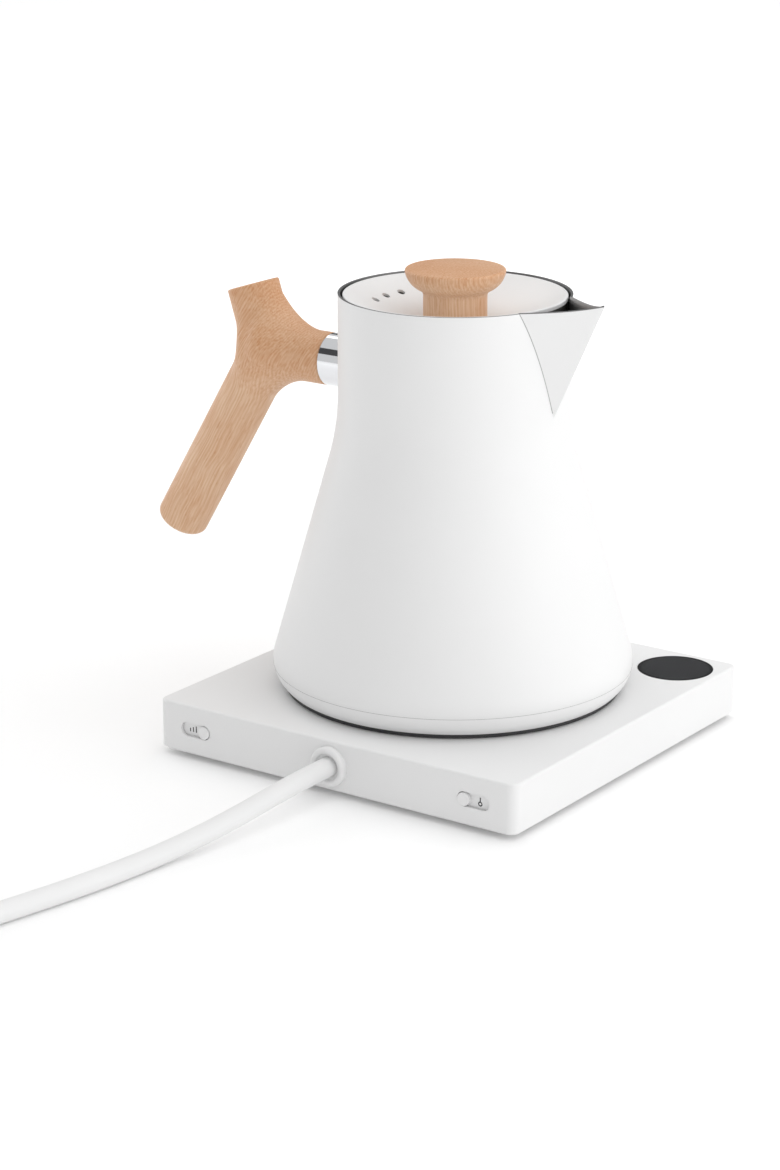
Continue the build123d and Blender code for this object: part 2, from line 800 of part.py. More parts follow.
with BuildPart() as plug_body:
    with BuildSketch(Plane(origin=relief_start, x_dir=plug_side, z_dir=tail_direction)):
        Circle(cord_r + relief_tip_wall)
    with BuildSketch(Plane(origin=plug_start, x_dir=plug_side, z_dir=tail_direction)):
        Circle(relief_r)
    loft()
    with BuildSketch(Plane(origin=plug_start, x_dir=plug_side, z_dir=tail_direction)):
        RectangleRounded(plug_back_side, plug_back_side, plug_round)
    with BuildSketch(Plane(origin=plug_grip, x_dir=plug_side, z_dir=tail_direction)):
        RectangleRounded(plug_width, plug_height, plug_round)
    loft()
    with BuildSketch(Plane(origin=plug_grip, x_dir=plug_side, z_dir=tail_direction)):
        RectangleRounded(plug_width, plug_height, plug_round)
    extrude(amount=plug_length - plug_taper)

with BuildPart() as plug_blades:
    with BuildSketch(Plane(origin=plug_face, x_dir=plug_side, z_dir=tail_direction)):
        with Locations((-blade_pitch / 2, -blade_drop), (blade_pitch / 2, -blade_drop)):
            Rectangle(blade_size[1], blade_size[0])
    extrude(amount=blade_size[2])
    with BuildSketch(Plane(origin=plug_face, x_dir=plug_side, z_dir=tail_direction)):
        with Locations((0, earth_pin_rise - blade_drop)):
            Circle(earth_pin_r)
    extrude(amount=earth_pin_length)

# ---------------------------------------------------------------- kettle: underside and heater
band_inner_low_r = wall_radius(band_low_z, band_t)
spreader_low_z = vessel_floor_z - spreader_t
element_z = spreader_low_z - element_sink

with BuildPart() as bottom_cover:
    plug_r = band_inner_low_r - fit_gap
    ring_in_r = cover_ring_r - cover_ring_width
    revolve(
        turned(
            (cover_hole_r, cover_under_z),
            (ring_in_r, cover_under_z),
            (ring_in_r, cover_low_z),
            (cover_ring_r, cover_low_z),
            (cover_ring_r, band_low_z),
            (plug_r, band_low_z),
            (plug_r, cover_top_z),
            (cover_hole_r, cover_top_z),
        ),
        Axis.Z,
    )
    with BuildSketch(Plane.XY.offset(cover_under_z)):
        with PolarLocations(cover_boss_ring_r, cover_screws_count):
            Circle(screw_shank_r + fit_gap / 2)
    extrude(amount=cover_t, mode=Mode.SUBTRACT)
    with BuildSketch(Plane.XY.offset(cover_under_z)):
        with PolarLocations(cover_boss_ring_r, cover_screws_count):
            Circle(screw_head_r + fit_gap / 2)
    extrude(amount=screw_head_t, mode=Mode.SUBTRACT)

with BuildPart() as base_ring:
    revolve(vessel_section(0, band_low_z, seam_z), Axis.Z)
    revolve(vessel_section(band_t, band_low_z, seam_z), Axis.Z, mode=Mode.SUBTRACT)
    with BuildSketch(Plane.XY.offset(cover_top_z)):
        with PolarLocations(cover_boss_ring_r, cover_screws_count):
            Circle(cover_boss_r)
            with Locations((cover_rib_length / 2, 0)):
                Rectangle(cover_rib_length, cover_rib_width)
    extrude(amount=seam_z - cover_top_z)
    with BuildSketch(Plane.XY.offset(cover_top_z)):
        with PolarLocations(cover_boss_ring_r, cover_screws_count):
            Circle(screw_shank_r)
    extrude(amount=seam_z - cover_top_z - boss_roof, mode=Mode.SUBTRACT)

with BuildPart() as cover_screws:
    with BuildSketch(Plane.XY.offset(cover_under_z)):
        with PolarLocations(cover_boss_ring_r, cover_screws_count):
            Circle(screw_head_r)
    extrude(amount=screw_head_t)
    with BuildSketch(Plane.XY.offset(cover_under_z + screw_head_t)):
        with PolarLocations(cover_boss_ring_r, cover_screws_count):
            Circle(screw_shank_r)
    extrude(amount=seam_z - boss_roof - screw_end_gap / 2 - cover_under_z - screw_head_t)

with BuildPart() as vessel_floor:
    floor_top_z = vessel_floor_z + vessel_floor_t
    revolve(vessel_section(wall_t, vessel_floor_z - floor_flange, floor_top_z), Axis.Z)
    revolve(
        vessel_section(wall_t + vessel_floor_t, vessel_floor_z - floor_flange, vessel_floor_z),
        Axis.Z,
        mode=Mode.SUBTRACT,
    )

with BuildPart() as heat_spreader:
    revolve(tube_section(sensor_r + fit_gap, spreader_r, spreader_low_z, vessel_floor_z), Axis.Z)
    with BuildSketch(Plane.XZ):
        with Locations((element_ring_r, element_z)):
            Circle(element_r)
    revolve(axis=Axis.Z, mode=Mode.SUBTRACT)

with BuildPart() as heating_element:
    with BuildSketch(Plane.XZ):
        with Locations((element_ring_r, element_z)):
            Circle(element_r)
    revolve(axis=Axis.Z, revolution_arc=element_sweep)
    with BuildSketch(Plane.XY.offset(element_z)):
        with Locations((element_ring_r, 0)):
            Circle(element_pin_r)
        with PolarLocations(element_ring_r, 1, start_angle=element_sweep):
            Circle(element_pin_r)
    extrude(amount=-element_pin_length)

with BuildPart() as temperature_sensor:
    revolve(tube_section(0, sensor_r, socket_top_z + fit_gap, vessel_floor_z), Axis.Z)

with BuildPart() as thermal_cutouts:
    with BuildSketch(Plane.XY.offset(spreader_low_z)):
        with PolarLocations((element_ring_r + element_r + spreader_r) / 2, 2, start_angle=90):
            Circle(cutout_r)
    extrude(amount=-cutout_t)

# ---------------------------------------------------------------- kettle: shell and spout
plan = radians(spout_plan_half_angle)
apex = Vector(neck_r, 0, spout_apex_z)
tip = Vector(spout_tip_x, 0, spout_tip_z)
ridge = tip - apex
side_normal = ridge.cross(Vector(-cos(plan), sin(plan), 0)).normalized()
sheet_shift = spout_sheet_t / abs(side_normal.X)
wedge_scale = 1.15
wedge_top_z = spout_apex_z + ridge.Z * wedge_scale
wedge_x = neck_r + ridge.X * wedge_scale
# Back to where each side plane comes nearest the vessel's axis, which is inside its mouth.
wedge_depth = wedge_x * cos(plan) ** 2


def spout_wedge(shift):
    """Inverted pyramid whose two outer faces meet in the spout's ridge, moved back along X."""
    point = apex - Vector(shift, 0, 0)
    with BuildPart() as wedge:
        with BuildSketch(Plane.XY.offset(wedge_top_z)):
            with BuildLine():
                Polyline(
                    (wedge_x - shift, 0),
                    (wedge_x - shift - wedge_depth, wedge_depth * tan(plan)),
                    (wedge_x - shift - wedge_depth, -wedge_depth * tan(plan)),
                    close=True,
                )
            make_face()
        loft(sections=[wedge.pending_faces[0], Vertex(point.X, point.Y, point.Z)])
    return wedge.part


outer_wedge = spout_wedge(0)
inner_wedge = spout_wedge(sheet_shift)

with BuildPart() as body_shell:
    revolve(vessel_section(0, seam_z, rim_z), Axis.Z)
    chamfer(body_shell.edges().group_by(Axis.Z)[0], seam_bevel)
    revolve(vessel_section(wall_t, seam_z, rim_z), Axis.Z, mode=Mode.SUBTRACT)
    add(inner_wedge, mode=Mode.SUBTRACT)

with BuildPart() as pour_spout:
    add(outer_wedge)
    add(inner_wedge, mode=Mode.SUBTRACT)
    revolve(vessel_section(0, seam_z, wedge_top_z + wall_t), Axis.Z, mode=Mode.SUBTRACT)
    with BuildSketch(Plane.XZ.offset(-neck_r)) as lip:
        with BuildLine():
            Spline(
                (0, rim_z),
                (spout_lip_mid_x, rim_z + spout_lip_mid_rise),
                (spout_tip_x, spout_tip_z),
                tangents=[(1, 0), (1, spout_lip_slope)],
            )
            Polyline(
                (spout_tip_x, spout_tip_z),
                (spout_tip_x + spout_trim, spout_tip_z + spout_lip_slope * spout_trim),
                (spout_tip_x + spout_trim, spout_tip_z + spout_trim),
                (0, spout_tip_z + spout_trim),
                (0, rim_z),
            )
        make_face()
    extrude(amount=2 * neck_r, mode=Mode.SUBTRACT)

# ---------------------------------------------------------------- kettle: handle
joint = Vector(handle_joint_x, 0, handle_z)
grip_direction = Vector(-sin(radians(grip_lean)), 0, -cos(radians(grip_lean)))
stub_direction = Vector(-sin(radians(stub_lean)), 0, cos(radians(stub_lean)))
stud_end_x = ferrule_end_x - stud_reach

with BuildPart() as handle_ferrule:
    with BuildSketch(Plane.YZ.offset(ferrule_end_x)):
        with Locations((0, handle_z)):
            Circle(ferrule_r)
            Circle(ferrule_r - ferrule_wall, mode=Mode.SUBTRACT)
    extrude(amount=-ferrule_end_x)
    revolve(vessel_section(0, seam_z, rim_z), Axis.Z, mode=Mode.SUBTRACT)
    edge = handle_ferrule.faces().sort_by(Axis.X)[0].edges().sort_by(SortBy.LENGTH)[-1]
    chamfer(edge, ferrule_bevel)

with BuildPart() as handle_stud:
    with BuildSketch(Plane.YZ.offset(stud_end_x)):
        with Locations((0, handle_z)):
            Circle(stud_r)
    extrude(amount=-stud_end_x)
    with BuildSketch(Plane.YZ.offset(-neck_r - stud_foot_t)):
        with Locations((0, handle_z)):
            Circle(stud_foot_r)
    extrude(amount=neck_r)
    revolve(vessel_section(0, seam_z, rim_z), Axis.Z, mode=Mode.SUBTRACT)

with BuildPart() as handle_grip:
    with BuildSketch(Plane.YZ.offset(ferrule_end_x)):
        with Locations((0, handle_z)):
            Circle(ferrule_r)
    extrude(amount=handle_joint_x - ferrule_end_x)
    with BuildSketch(Plane(origin=joint, x_dir=(0, 1, 0), z_dir=grip_direction)):
        Circle(grip_r)
    extrude(amount=grip_length)
    with BuildSketch(Plane(origin=joint, x_dir=(0, 1, 0), z_dir=stub_direction)):
        Circle(stub_r)
    extrude(amount=stub_length)
    with Locations(joint):
        Sphere(grip_r)
    fillet(handle_grip.edges().filter_by(GeomType.BSPLINE), crotch_round)
    ends = handle_grip.faces().filter_by(GeomType.PLANE)
    fillet(ends.sort_by(Axis.Z)[0].edges(), grip_end_round)
    fillet(handle_grip.faces().filter_by(GeomType.PLANE).sort_by(Axis.Z)[-1].edges(), stub_end_round)
    with BuildSketch(Plane.YZ.offset(ferrule_end_x)):
        with Locations((0, handle_z)):
            Circle(stud_r + stud_gap)
    extrude(amount=-stud_reach - stud_gap, mode=Mode.SUBTRACT)

# ---------------------------------------------------------------- lid
lid_r = neck_r - wall_t - lid_gap
lid_top_z = rim_z - lid_top_drop
lid_seat_z = lid_top_z - lid_dish_depth
lid_inner_r = lid_r - lid_edge_width
skirt_r = lid_r - skirt_inset
skirt_low_z = lid_top_z - skirt_depth
seat_under_z = lid_seat_z - lid_sheet_t


def dish_curve(drop):
    """The dish's face from the lid's edge to its seat, lowered by a sheet's thickness."""
    edge = (lid_inner_r, lid_top_z - drop)
    mid_z = (lid_top_z + lid_seat_z) / 2 - lid_dish_bulge / 2
    return ThreePointArc(edge, (lid_dish_mid_r, mid_z - drop), (lid_seat_r, lid_seat_z - drop))


with BuildPart() as lid_disc:
    with BuildSketch(Plane.XZ):
        with BuildLine():
            dish_curve(0)
            Polyline(
                (lid_seat_r, lid_seat_z),
                (knob_screw_r + fit_gap / 2, lid_seat_z),
                (knob_screw_r + fit_gap / 2, seat_under_z),
                (lid_seat_r, seat_under_z),
            )
            dish_curve(lid_sheet_t)
            Polyline(
                (lid_inner_r, lid_top_z - lid_sheet_t),
                (lid_inner_r, lid_top_z - lid_edge_depth),
                (lid_r, lid_top_z - lid_edge_depth),
                (lid_r, lid_top_z),
                (lid_inner_r, lid_top_z),
            )
        make_face()
    revolve(axis=Axis.Z)
    fillet(lid_disc.edges().group_by(Axis.Z)[-1].sort_by(SortBy.LENGTH)[-1], lid_edge_r)
    with BuildSketch(Plane.XY.offset(skirt_low_z)):
        for turn in (180 - vent_step, 180, 180 + vent_step):
            with PolarLocations(vent_ring_r, 1, start_angle=turn):
                Circle(vent_r)
    extrude(amount=skirt_depth, mode=Mode.SUBTRACT)

with BuildPart() as lid_skirt:
    revolve(tube_section(skirt_r - skirt_t, skirt_r, skirt_low_z, lid_top_z - lid_edge_depth), Axis.Z)

with BuildPart() as lid_baffle:
    revolve(tube_section(0, skirt_r - skirt_t, skirt_low_z, skirt_low_z + baffle_t), Axis.Z)
    with BuildSketch(Plane.XY.offset(skirt_low_z)):
        with PolarLocations(baffle_ring_r, baffle_holes):
            Circle(baffle_hole_r)
    extrude(amount=baffle_t, mode=Mode.SUBTRACT)

with BuildPart() as lid_seal:
    seal_low_z = skirt_low_z + seal_lift
    seal_out_r = neck_r - wall_t - fit_gap
    revolve(tube_section(skirt_r, seal_out_r, seal_low_z, seal_low_z + seal_height), Axis.Z)
    fillet(lid_seal.edges().sort_by(SortBy.LENGTH)[-2:], seal_height / 4)

washer_low_z = seat_under_z - knob_washer_t
with BuildPart() as knob_washer:
    revolve(tube_section(knob_screw_r + fit_gap / 2, knob_washer_r, washer_low_z, seat_under_z), Axis.Z)

with BuildPart() as knob_screw:
    revolve(tube_section(0, knob_screw_head_r, washer_low_z - knob_screw_head_t, washer_low_z), Axis.Z)
    revolve(tube_section(0, knob_screw_r, washer_low_z, lid_seat_z + knob_screw_reach), Axis.Z)

with BuildPart() as lid_knob:
    bore_r = knob_screw_r + stud_gap
    bore_top_z = lid_seat_z + knob_screw_reach + fit_gap
    with BuildSketch(Plane.XZ):
        with BuildLine():
            Polyline(
                (0, bore_top_z),
                (bore_r, bore_top_z),
                (bore_r, lid_seat_z),
                (knob_stem_r, lid_seat_z),
                (knob_stem_r, knob_neck_z),
            )
            ThreePointArc((knob_stem_r, knob_neck_z), knob_neck_mid, knob_bowl_low)
            ThreePointArc(knob_bowl_low, knob_bowl_mid, (knob_r, knob_widest_z))
            ThreePointArc((knob_r, knob_widest_z), knob_edge_mid, (knob_rim_r, knob_rim_z))
            dome_r = (knob_rim_r**2 + knob_crown**2) / (2 * knob_crown)
            half_angle = asin(knob_rim_r / dome_r) / 2
            dome_mid = (dome_r * sin(half_angle), knob_top_z - dome_r * (1 - cos(half_angle)))
            ThreePointArc((knob_rim_r, knob_rim_z), dome_mid, (0, knob_top_z))
            Line((0, knob_top_z), (0, bore_top_z))
        make_face()
    revolve(axis=Axis.Z)

# ---------------------------------------------------------------- labels and files
pieces = {
    "base_housing": base_housing,
    "base_bottom_plate": base_bottom_plate,
    "bottom_screws": bottom_screws,
    **feet,
    "display_window": display_window,
    "display_module": display_module,
    "control_board": control_board,
    "dial_encoder": dial_encoder,
    "encoder_plunger": encoder_plunger,
    "encoder_shaft": encoder_shaft,
    "control_dial": control_dial,
    "hold_slider": hold_slider,
    "unit_slider": unit_slider,
    "hold_switch_body": hold_switch_body,
    "unit_switch_body": unit_switch_body,
    "base_coupler": base_coupler,
    "coupler_screws": coupler_screws,
    "coupler_contacts": coupler_contacts,
    "kettle_socket": kettle_socket,
    "socket_contacts": socket_contacts,
    "power_board": power_board,
    "power_relay": power_relay,
    "power_transformer": power_transformer,
    "mains_leads": mains_leads,
    "coupler_leads": coupler_leads,
    "cord_clamp": cord_clamp,
    "inner_cord": inner_cord,
    "cord_grommet": cord_grommet,
    "power_cord": power_cord,
    "cord_coil": cord_coil,
    "cord_tail": cord_tail,
    "plug_body": plug_body,
    "plug_blades": plug_blades,
    "bottom_cover": bottom_cover,
    "base_ring": base_ring,
    "cover_screws": cover_screws,
    "vessel_floor": vessel_floor,
    "heat_spreader": heat_spreader,
    "heating_element": heating_element,
    "temperature_sensor": temperature_sensor,
    "thermal_cutouts": thermal_cutouts,
    "body_shell": body_shell,
    "pour_spout": pour_spout,
    "handle_ferrule": handle_ferrule,
    "handle_stud": handle_stud,
    "handle_grip": handle_grip,
    "lid_disc": lid_disc,
    "lid_skirt": lid_skirt,
    "lid_baffle": lid_baffle,
    "lid_seal": lid_seal,
    "knob_washer": knob_washer,
    "knob_screw": knob_screw,
    "lid_knob": lid_knob,
}
os.makedirs("parts", exist_ok=True)
for name, piece in pieces.items():
    piece.part.label = name
    export_step(piece.part, f"parts/{name}.step")

print("cord corner radii", [round(r, 1) for r in cord_radii])
cord_tube_length = sum(edge.length for edge in cord_path.edges())
print("cord tube length", round(cord_tube_length, 1))
print("cord tube volume over section times length")
print(round(power_cord.part.volume / (pi * cord_r**2 * cord_tube_length), 4))
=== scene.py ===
import json
from math import acos, atan2, cos, pi, radians, sin, sqrt, tan

import bmesh
import bpy
import numpy as np
from bpy.props import FloatProperty, FloatVectorProperty, IntProperty, PointerProperty
from bpy.types import Operator, Panel, PropertyGroup
from mathutils import Euler, Matrix, Vector


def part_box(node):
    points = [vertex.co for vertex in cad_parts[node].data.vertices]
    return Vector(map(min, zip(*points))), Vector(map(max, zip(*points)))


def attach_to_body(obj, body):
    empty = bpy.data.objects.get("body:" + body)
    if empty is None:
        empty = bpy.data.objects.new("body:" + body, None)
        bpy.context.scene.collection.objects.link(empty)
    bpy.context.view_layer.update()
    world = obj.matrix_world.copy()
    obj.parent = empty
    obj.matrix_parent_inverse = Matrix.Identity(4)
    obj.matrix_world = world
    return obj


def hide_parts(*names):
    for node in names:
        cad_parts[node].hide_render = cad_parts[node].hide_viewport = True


bl_info = {
    "name": "Electric Kettle on a Power Base",
    "version": (1, 0, 0),
    "blender": (4, 5, 0),
    "location": "View3D > Sidebar > Kettle",
    "description": "Builds the kettle's finished pieces around its fixed mechanical frame",
    "category": "Add Mesh",
}

# The frame: every CAD node, in metres, with +X along the spout, -Y at the cord and +Z up.
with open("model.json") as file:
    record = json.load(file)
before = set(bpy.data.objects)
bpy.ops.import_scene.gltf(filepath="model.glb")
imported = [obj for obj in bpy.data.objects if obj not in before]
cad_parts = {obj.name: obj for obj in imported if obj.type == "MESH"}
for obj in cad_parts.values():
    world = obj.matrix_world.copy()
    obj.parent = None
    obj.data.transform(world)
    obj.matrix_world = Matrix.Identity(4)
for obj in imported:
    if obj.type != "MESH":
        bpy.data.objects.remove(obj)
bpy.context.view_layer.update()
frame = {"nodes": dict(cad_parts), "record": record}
nodes = frame["nodes"]
MM = 0.001


# ---------------------------------------------------------------- what a user may change
def length(name, default, description, **options):
    """A size in metres."""
    return FloatProperty(
        name=name, description=description, default=default, subtype="DISTANCE", unit="LENGTH", **options
    )


def colour(name, default, description):
    """A linear colour."""
    return FloatVectorProperty(
        name=name, description=description, default=default, subtype="COLOR", size=3, min=0.0, max=1.0
    )


def share(name, default, description):
    """A number from 0 to 1."""
    return FloatProperty(name=name, description=description, default=default, min=0.0, max=1.0)


class KettleSizes(PropertyGroup):
    """Sizes of the finished pieces."""

    neck_radius: length("Neck radius", 46.5 * MM, "Outer radius of the vessel's neck")
    sheet: length("Wall", 1.0 * MM, "Thickness of the vessel's wall and of the spout")
    lip_round: length("Lip rounding", 0.25 * MM, "Rounding of the vessel's cut edge")
    fold_round: length("Fold rounding", 1.1 * MM, "Rounding along the spout's folded ridge")
    seam_round: length("Seam rounding", 0.25 * MM, "Rounding where the spout meets the neck")
    upper_blend: length("Upper blend", 16.0 * MM, "Blend between the handle's stub and its ferrule")
    waist_blend: length("Waist blend", 6.0 * MM, "Blend between the handle's stub and its grip")
    crotch_blend: length("Crotch blend", 12.0 * MM, "Blend between the handle's grip and its ferrule")
    handle_cell: length("Handle mesh size", 1.0 * MM, "Edge length of the handle's mesh", min=0.0004)
    cord_diameter: length("Cord diameter", 8.0 * MM, "Diameter of the mains cord's jacket")
    cord_length: length("Cord length", 0.84, "Length of the mains cord from the grommet to the plug")
    coil_points: IntProperty(
        name="Points in a turn", description="Control points in each turn of the coil", default=14, min=12
    )
    dial_ribs: IntProperty(name="Dial ribs", description="Ribs round the dial", default=48, min=12)
    relief_rings: IntProperty(
        name="Relief rings", description="Rings on the plug's strain relief", default=6, min=2
    )
    grip_ridges: IntProperty(
        name="Plug ridges", description="Ridges on each side of the plug", default=5, min=1
    )


class KettleFinish(PropertyGroup):
    """Colours and finishes."""

    paint: colour("Paint", (0.80, 0.80, 0.80), "Matte powder coat of the vessel and the lid")
    moulding: colour("Mouldings", (0.80, 0.80, 0.80), "Matte plastic of the power base")
    jacket: colour("Cord", (0.78, 0.78, 0.78), "Jacket of the mains cord")
    dark_plastic: colour("Dark plastic", (0.022, 0.022, 0.024), "Coupler, socket and underside")
    wood_light: colour("Light wood", (0.76, 0.53, 0.36), "Wood between the growth rings")
    wood_dark: colour("Dark wood", (0.54, 0.25, 0.105), "Wood at the growth rings and pores")
    steel: colour("Steel", (0.56, 0.55, 0.53), "Brushed stainless steel")
    chrome: colour("Chrome", (0.80, 0.81, 0.83), "Polished plating of the ferrule")
    window: colour("Display", (0.035, 0.036, 0.038), "Display window, switched off")
    # Steel much darker than the outside steel: painted shade inside the vessel and spout.
    inside: colour("Vessel inside", (0.20, 0.20, 0.20), "Bare steel on the inside of the vessel and spout")
    ink: colour("Ink", (0.04, 0.04, 0.045), "Printed pictograms")
    paint_roughness: share("Paint roughness", 0.48, "How matte the powder coat is")


# ---------------------------------------------------------------- node helpers
def feed(tree, socket, value):
    """Sets a socket, or links it where the value is another node's output."""
    if isinstance(value, bpy.types.NodeSocket):
        tree.links.new(value, socket)
    else:
        socket.default_value = value


def feed_all(tree, made, values):
    """Feeds a node's sockets by name, with an underscore for each space."""
    for name, value in values.items():
        feed(tree, made.inputs[name.replace("_", " ")], value)


def add_node(tree, kind, **values):
    """A node with its sockets fed."""
    made = tree.nodes.new(kind)
    feed_all(tree, made, values)
    return made


def maths(tree, operation, *terms):
    """The result of a Math node."""
    made = tree.nodes.new("ShaderNodeMath")
    made.operation = operation
    for socket, term in zip(made.inputs, terms):
        feed(tree, socket, term)
    return made.outputs[0]


def vector_maths(tree, operation, *terms):
    """A Vector Math node."""
    made = tree.nodes.new("ShaderNodeVectorMath")
    made.operation = operation
    for socket, term in zip(made.inputs, terms):
        feed(tree, socket, term)
    return made


def blend_colours(tree, mask, first, second):
    """The colour between two others that a mask picks."""
    made = tree.nodes.new("ShaderNodeMix")
    made.data_type = "RGBA"
    tree.links.new(mask, made.inputs[0])
    for socket, term in ((made.inputs[6], first), (made.inputs[7], second)):
        linked = isinstance(term, bpy.types.NodeSocket)
        feed(tree, socket, term if linked else (*term[:3], 1.0))
    return made.outputs[2]


def span(tree, value, low, high, start=0.0, end=1.0):
    """A value that runs from start to end, spread between low and high."""
    made = add_node(
        tree, "ShaderNodeMapRange", Value=value, From_Min=start, From_Max=end, To_Min=low, To_Max=high
    )
    return made.outputs["Result"]


def new_group(name, inputs, outputs):
    """An empty shader node group with its named sockets."""
    group = bpy.data.node_groups.new(name, "ShaderNodeTree")
    for socket, kind, default in inputs:
        made = group.interface.new_socket(socket, in_out="INPUT", socket_type="NodeSocket" + kind)
        if default is not None:
            made.default_value = default
    for socket, kind in outputs:
        group.interface.new_socket(socket, in_out="OUTPUT", socket_type="NodeSocket" + kind)
    entry = group.nodes.new("NodeGroupInput")
    result = group.nodes.new("NodeGroupOutput")
    return group, entry, result


def texture_group():
    """Fine moulded or sprayed texture: a height, and a roughness that drifts a little."""
    group, entry, result = new_group(
        "Fine Texture",
        [
            ("Vector", "Vector", None),
            ("Scale", "Float", 1200.0),
            ("Roughness", "Float", 0.5),
            ("Drift", "Float", 0.05),
        ],
        [("Height", "Float"), ("Roughness", "Float")],
    )
    vector = entry.outputs["Vector"]
    fine = add_node(group, "ShaderNodeTexNoise", Vector=vector, Scale=entry.outputs["Scale"], Detail=3.0)
    patches = add_node(group, "ShaderNodeTexNoise", Vector=vector, Scale=35.0, Detail=2.0)
    centred = maths(group, "SUBTRACT", patches.outputs[0], 0.5)
    drift = maths(group, "MULTIPLY", centred, entry.outputs["Drift"])
    group.links.new(fine.outputs[0], result.inputs["Height"])
    group.links.new(maths(group, "ADD", entry.outputs["Roughness"], drift), result.inputs["Roughness"])


def brushed_group():
    """Brush marks that run along one axis: a height and a streaky roughness."""
    group, entry, result = new_group(
        "Brushed Marks",
        [
            ("Vector", "Vector", None),
            ("Roughness", "Float", 0.3),
            ("Spread", "Float", 0.12),
        ],
        [("Height", "Float"), ("Roughness", "Float"), ("Tone", "Float")],
    )
    marks = add_node(group, "ShaderNodeTexNoise", Vector=entry.outputs["Vector"], Scale=1.0, Detail=5.0)
    group.links.new(marks.outputs[0], result.inputs["Height"])
    group.links.new(marks.outputs[0], result.inputs["Tone"])
    streaks = maths(group, "MULTIPLY", marks.outputs[0], entry.outputs["Spread"])
    group.links.new(maths(group, "ADD", entry.outputs["Roughness"], streaks), result.inputs["Roughness"])


def wood_group():
    """Straight-grained wood along the vector's Z axis: rings, fibres, pores and a warm drift."""
    group, entry, result = new_group(
        "Wood Figure",
        [
            ("Vector", "Vector", None),
            ("Light", "Color", None),
            ("Dark", "Color", None),
            ("Ring Scale", "Float", 260.0),
            ("Warmth", "Float", 0.0),
        ],
        [("Color", "Color"), ("Height", "Float"), ("Roughness", "Float")],
    )
    vector = entry.outputs["Vector"]
    waves = add_node(group, "ShaderNodeTexNoise", Vector=vector, Scale=26.0, Detail=2.0)
    bend = vector_maths(group, "MULTIPLY_ADD", waves.outputs["Color"], (0.006, 0.006, 0.0), vector)
    long_grain = add_node(group, "ShaderNodeMapping", Vector=bend.outputs[0], Scale=(1.0, 1.0, 0.025))
    rings = add_node(
        group,
        "ShaderNodeTexWave",
        Vector=long_grain.outputs[0],
        Scale=entry.outputs["Ring Scale"],
        Distortion=5.0,
        Detail=3.0,
        Detail_Scale=1.5,
    )
    rings.bands_direction = "X"
    fibres = add_node(group, "ShaderNodeTexNoise", Vector=long_grain.outputs[0], Scale=1500.0, Detail=4.0)
    short_grain = add_node(group, "ShaderNodeMapping", Vector=vector, Scale=(1.0, 1.0, 0.22))
    flecks = add_node(group, "ShaderNodeTexNoise", Vector=short_grain.outputs[0], Scale=1300.0, Detail=1.0)
    warm = add_node(group, "ShaderNodeTexNoise", Vector=vector, Scale=40.0, Detail=1.0)
    parts = (
        (rings.outputs["Fac"], 0.0, 1.0, 0.22),
        (fibres.outputs[0], 0.35, 0.65, 0.36),
        (warm.outputs[0], 0.35, 0.65, 0.20),
        (flecks.outputs[0], 0.60, 0.74, 0.22),
    )
    darkness = entry.outputs["Warmth"]
    for value, start, end, weight in parts:
        darkness = maths(group, "ADD", darkness, span(group, value, 0.0, weight, start, end))
    tone = blend_colours(group, darkness, entry.outputs["Light"], entry.outputs["Dark"])
    group.links.new(tone, result.inputs["Color"])
    group.links.new(fibres.outputs[0], result.inputs["Height"])
    group.links.new(span(group, fibres.outputs[0], 0.42, 0.56), result.inputs["Roughness"])


# ---------------------------------------------------------------- materials
FINISHED = "finished_"


def new_material(name):
    """A new material's tree, shader and Object coordinates; its name differs from the frame's plain one."""
    made = bpy.data.materials.new(FINISHED + name)
    made.use_nodes = True
    tree = made.node_tree
    shader = tree.nodes["Principled BSDF"]
    place = tree.nodes.new("ShaderNodeTexCoord").outputs["Object"]
    return tree, shader, place


def add_group(tree, name, **values):
    """One of the shared node groups, placed in a material."""
    made = tree.nodes.new("ShaderNodeGroup")
    made.node_tree = bpy.data.node_groups[name]
    feed_all(tree, made, values)
    return made


def add_bump(tree, shader, height, depth):
    """Relief of the given depth in metres on the shader's normal."""
    bump = add_node(tree, "ShaderNodeBump", Height=height, Distance=depth, Strength=1.0)
    tree.links.new(bump.outputs[0], shader.inputs["Normal"])


def textured(name, tint, roughness, scale, depth, specular=0.5):
    """Sprayed, moulded or rubber surfaces with a fine even texture and a slight drift in tone."""
    tree, shader, place = new_material(name)
    grain = add_group(tree, "Fine Texture", Vector=place, Scale=scale, Roughness=roughness, Drift=0.06)
    tree.links.new(grain.outputs["Roughness"], shader.inputs["Roughness"])
    cloud = add_node(tree, "ShaderNodeTexNoise", Vector=place, Scale=18.0, Detail=2.0)
    deeper = [channel * 0.96 for channel in tint]
    tree.links.new(blend_colours(tree, cloud.outputs[0], tint, deeper), shader.inputs["Base Color"])
    shader.inputs["Specular IOR Level"].default_value = specular
    add_bump(tree, shader, grain.outputs["Height"], depth)


def brushed(name, tint, roughness, stretch, depth=4e-6):
    """Brushed metal; the stretch gives how fast the marks change along each axis."""
    tree, shader, place = new_material(name)
    mapped = add_node(tree, "ShaderNodeMapping", Vector=place, Scale=stretch)
    marks = add_group(tree, "Brushed Marks", Vector=mapped.outputs[0], Roughness=roughness)
    tree.links.new(marks.outputs["Roughness"], shader.inputs["Roughness"])
    darker = [channel * 0.78 for channel in tint]
    tree.links.new(blend_colours(tree, marks.outputs["Tone"], tint, darker), shader.inputs["Base Color"])
    shader.inputs["Metallic"].default_value = 1.0
    add_bump(tree, shader, marks.outputs["Height"], depth)


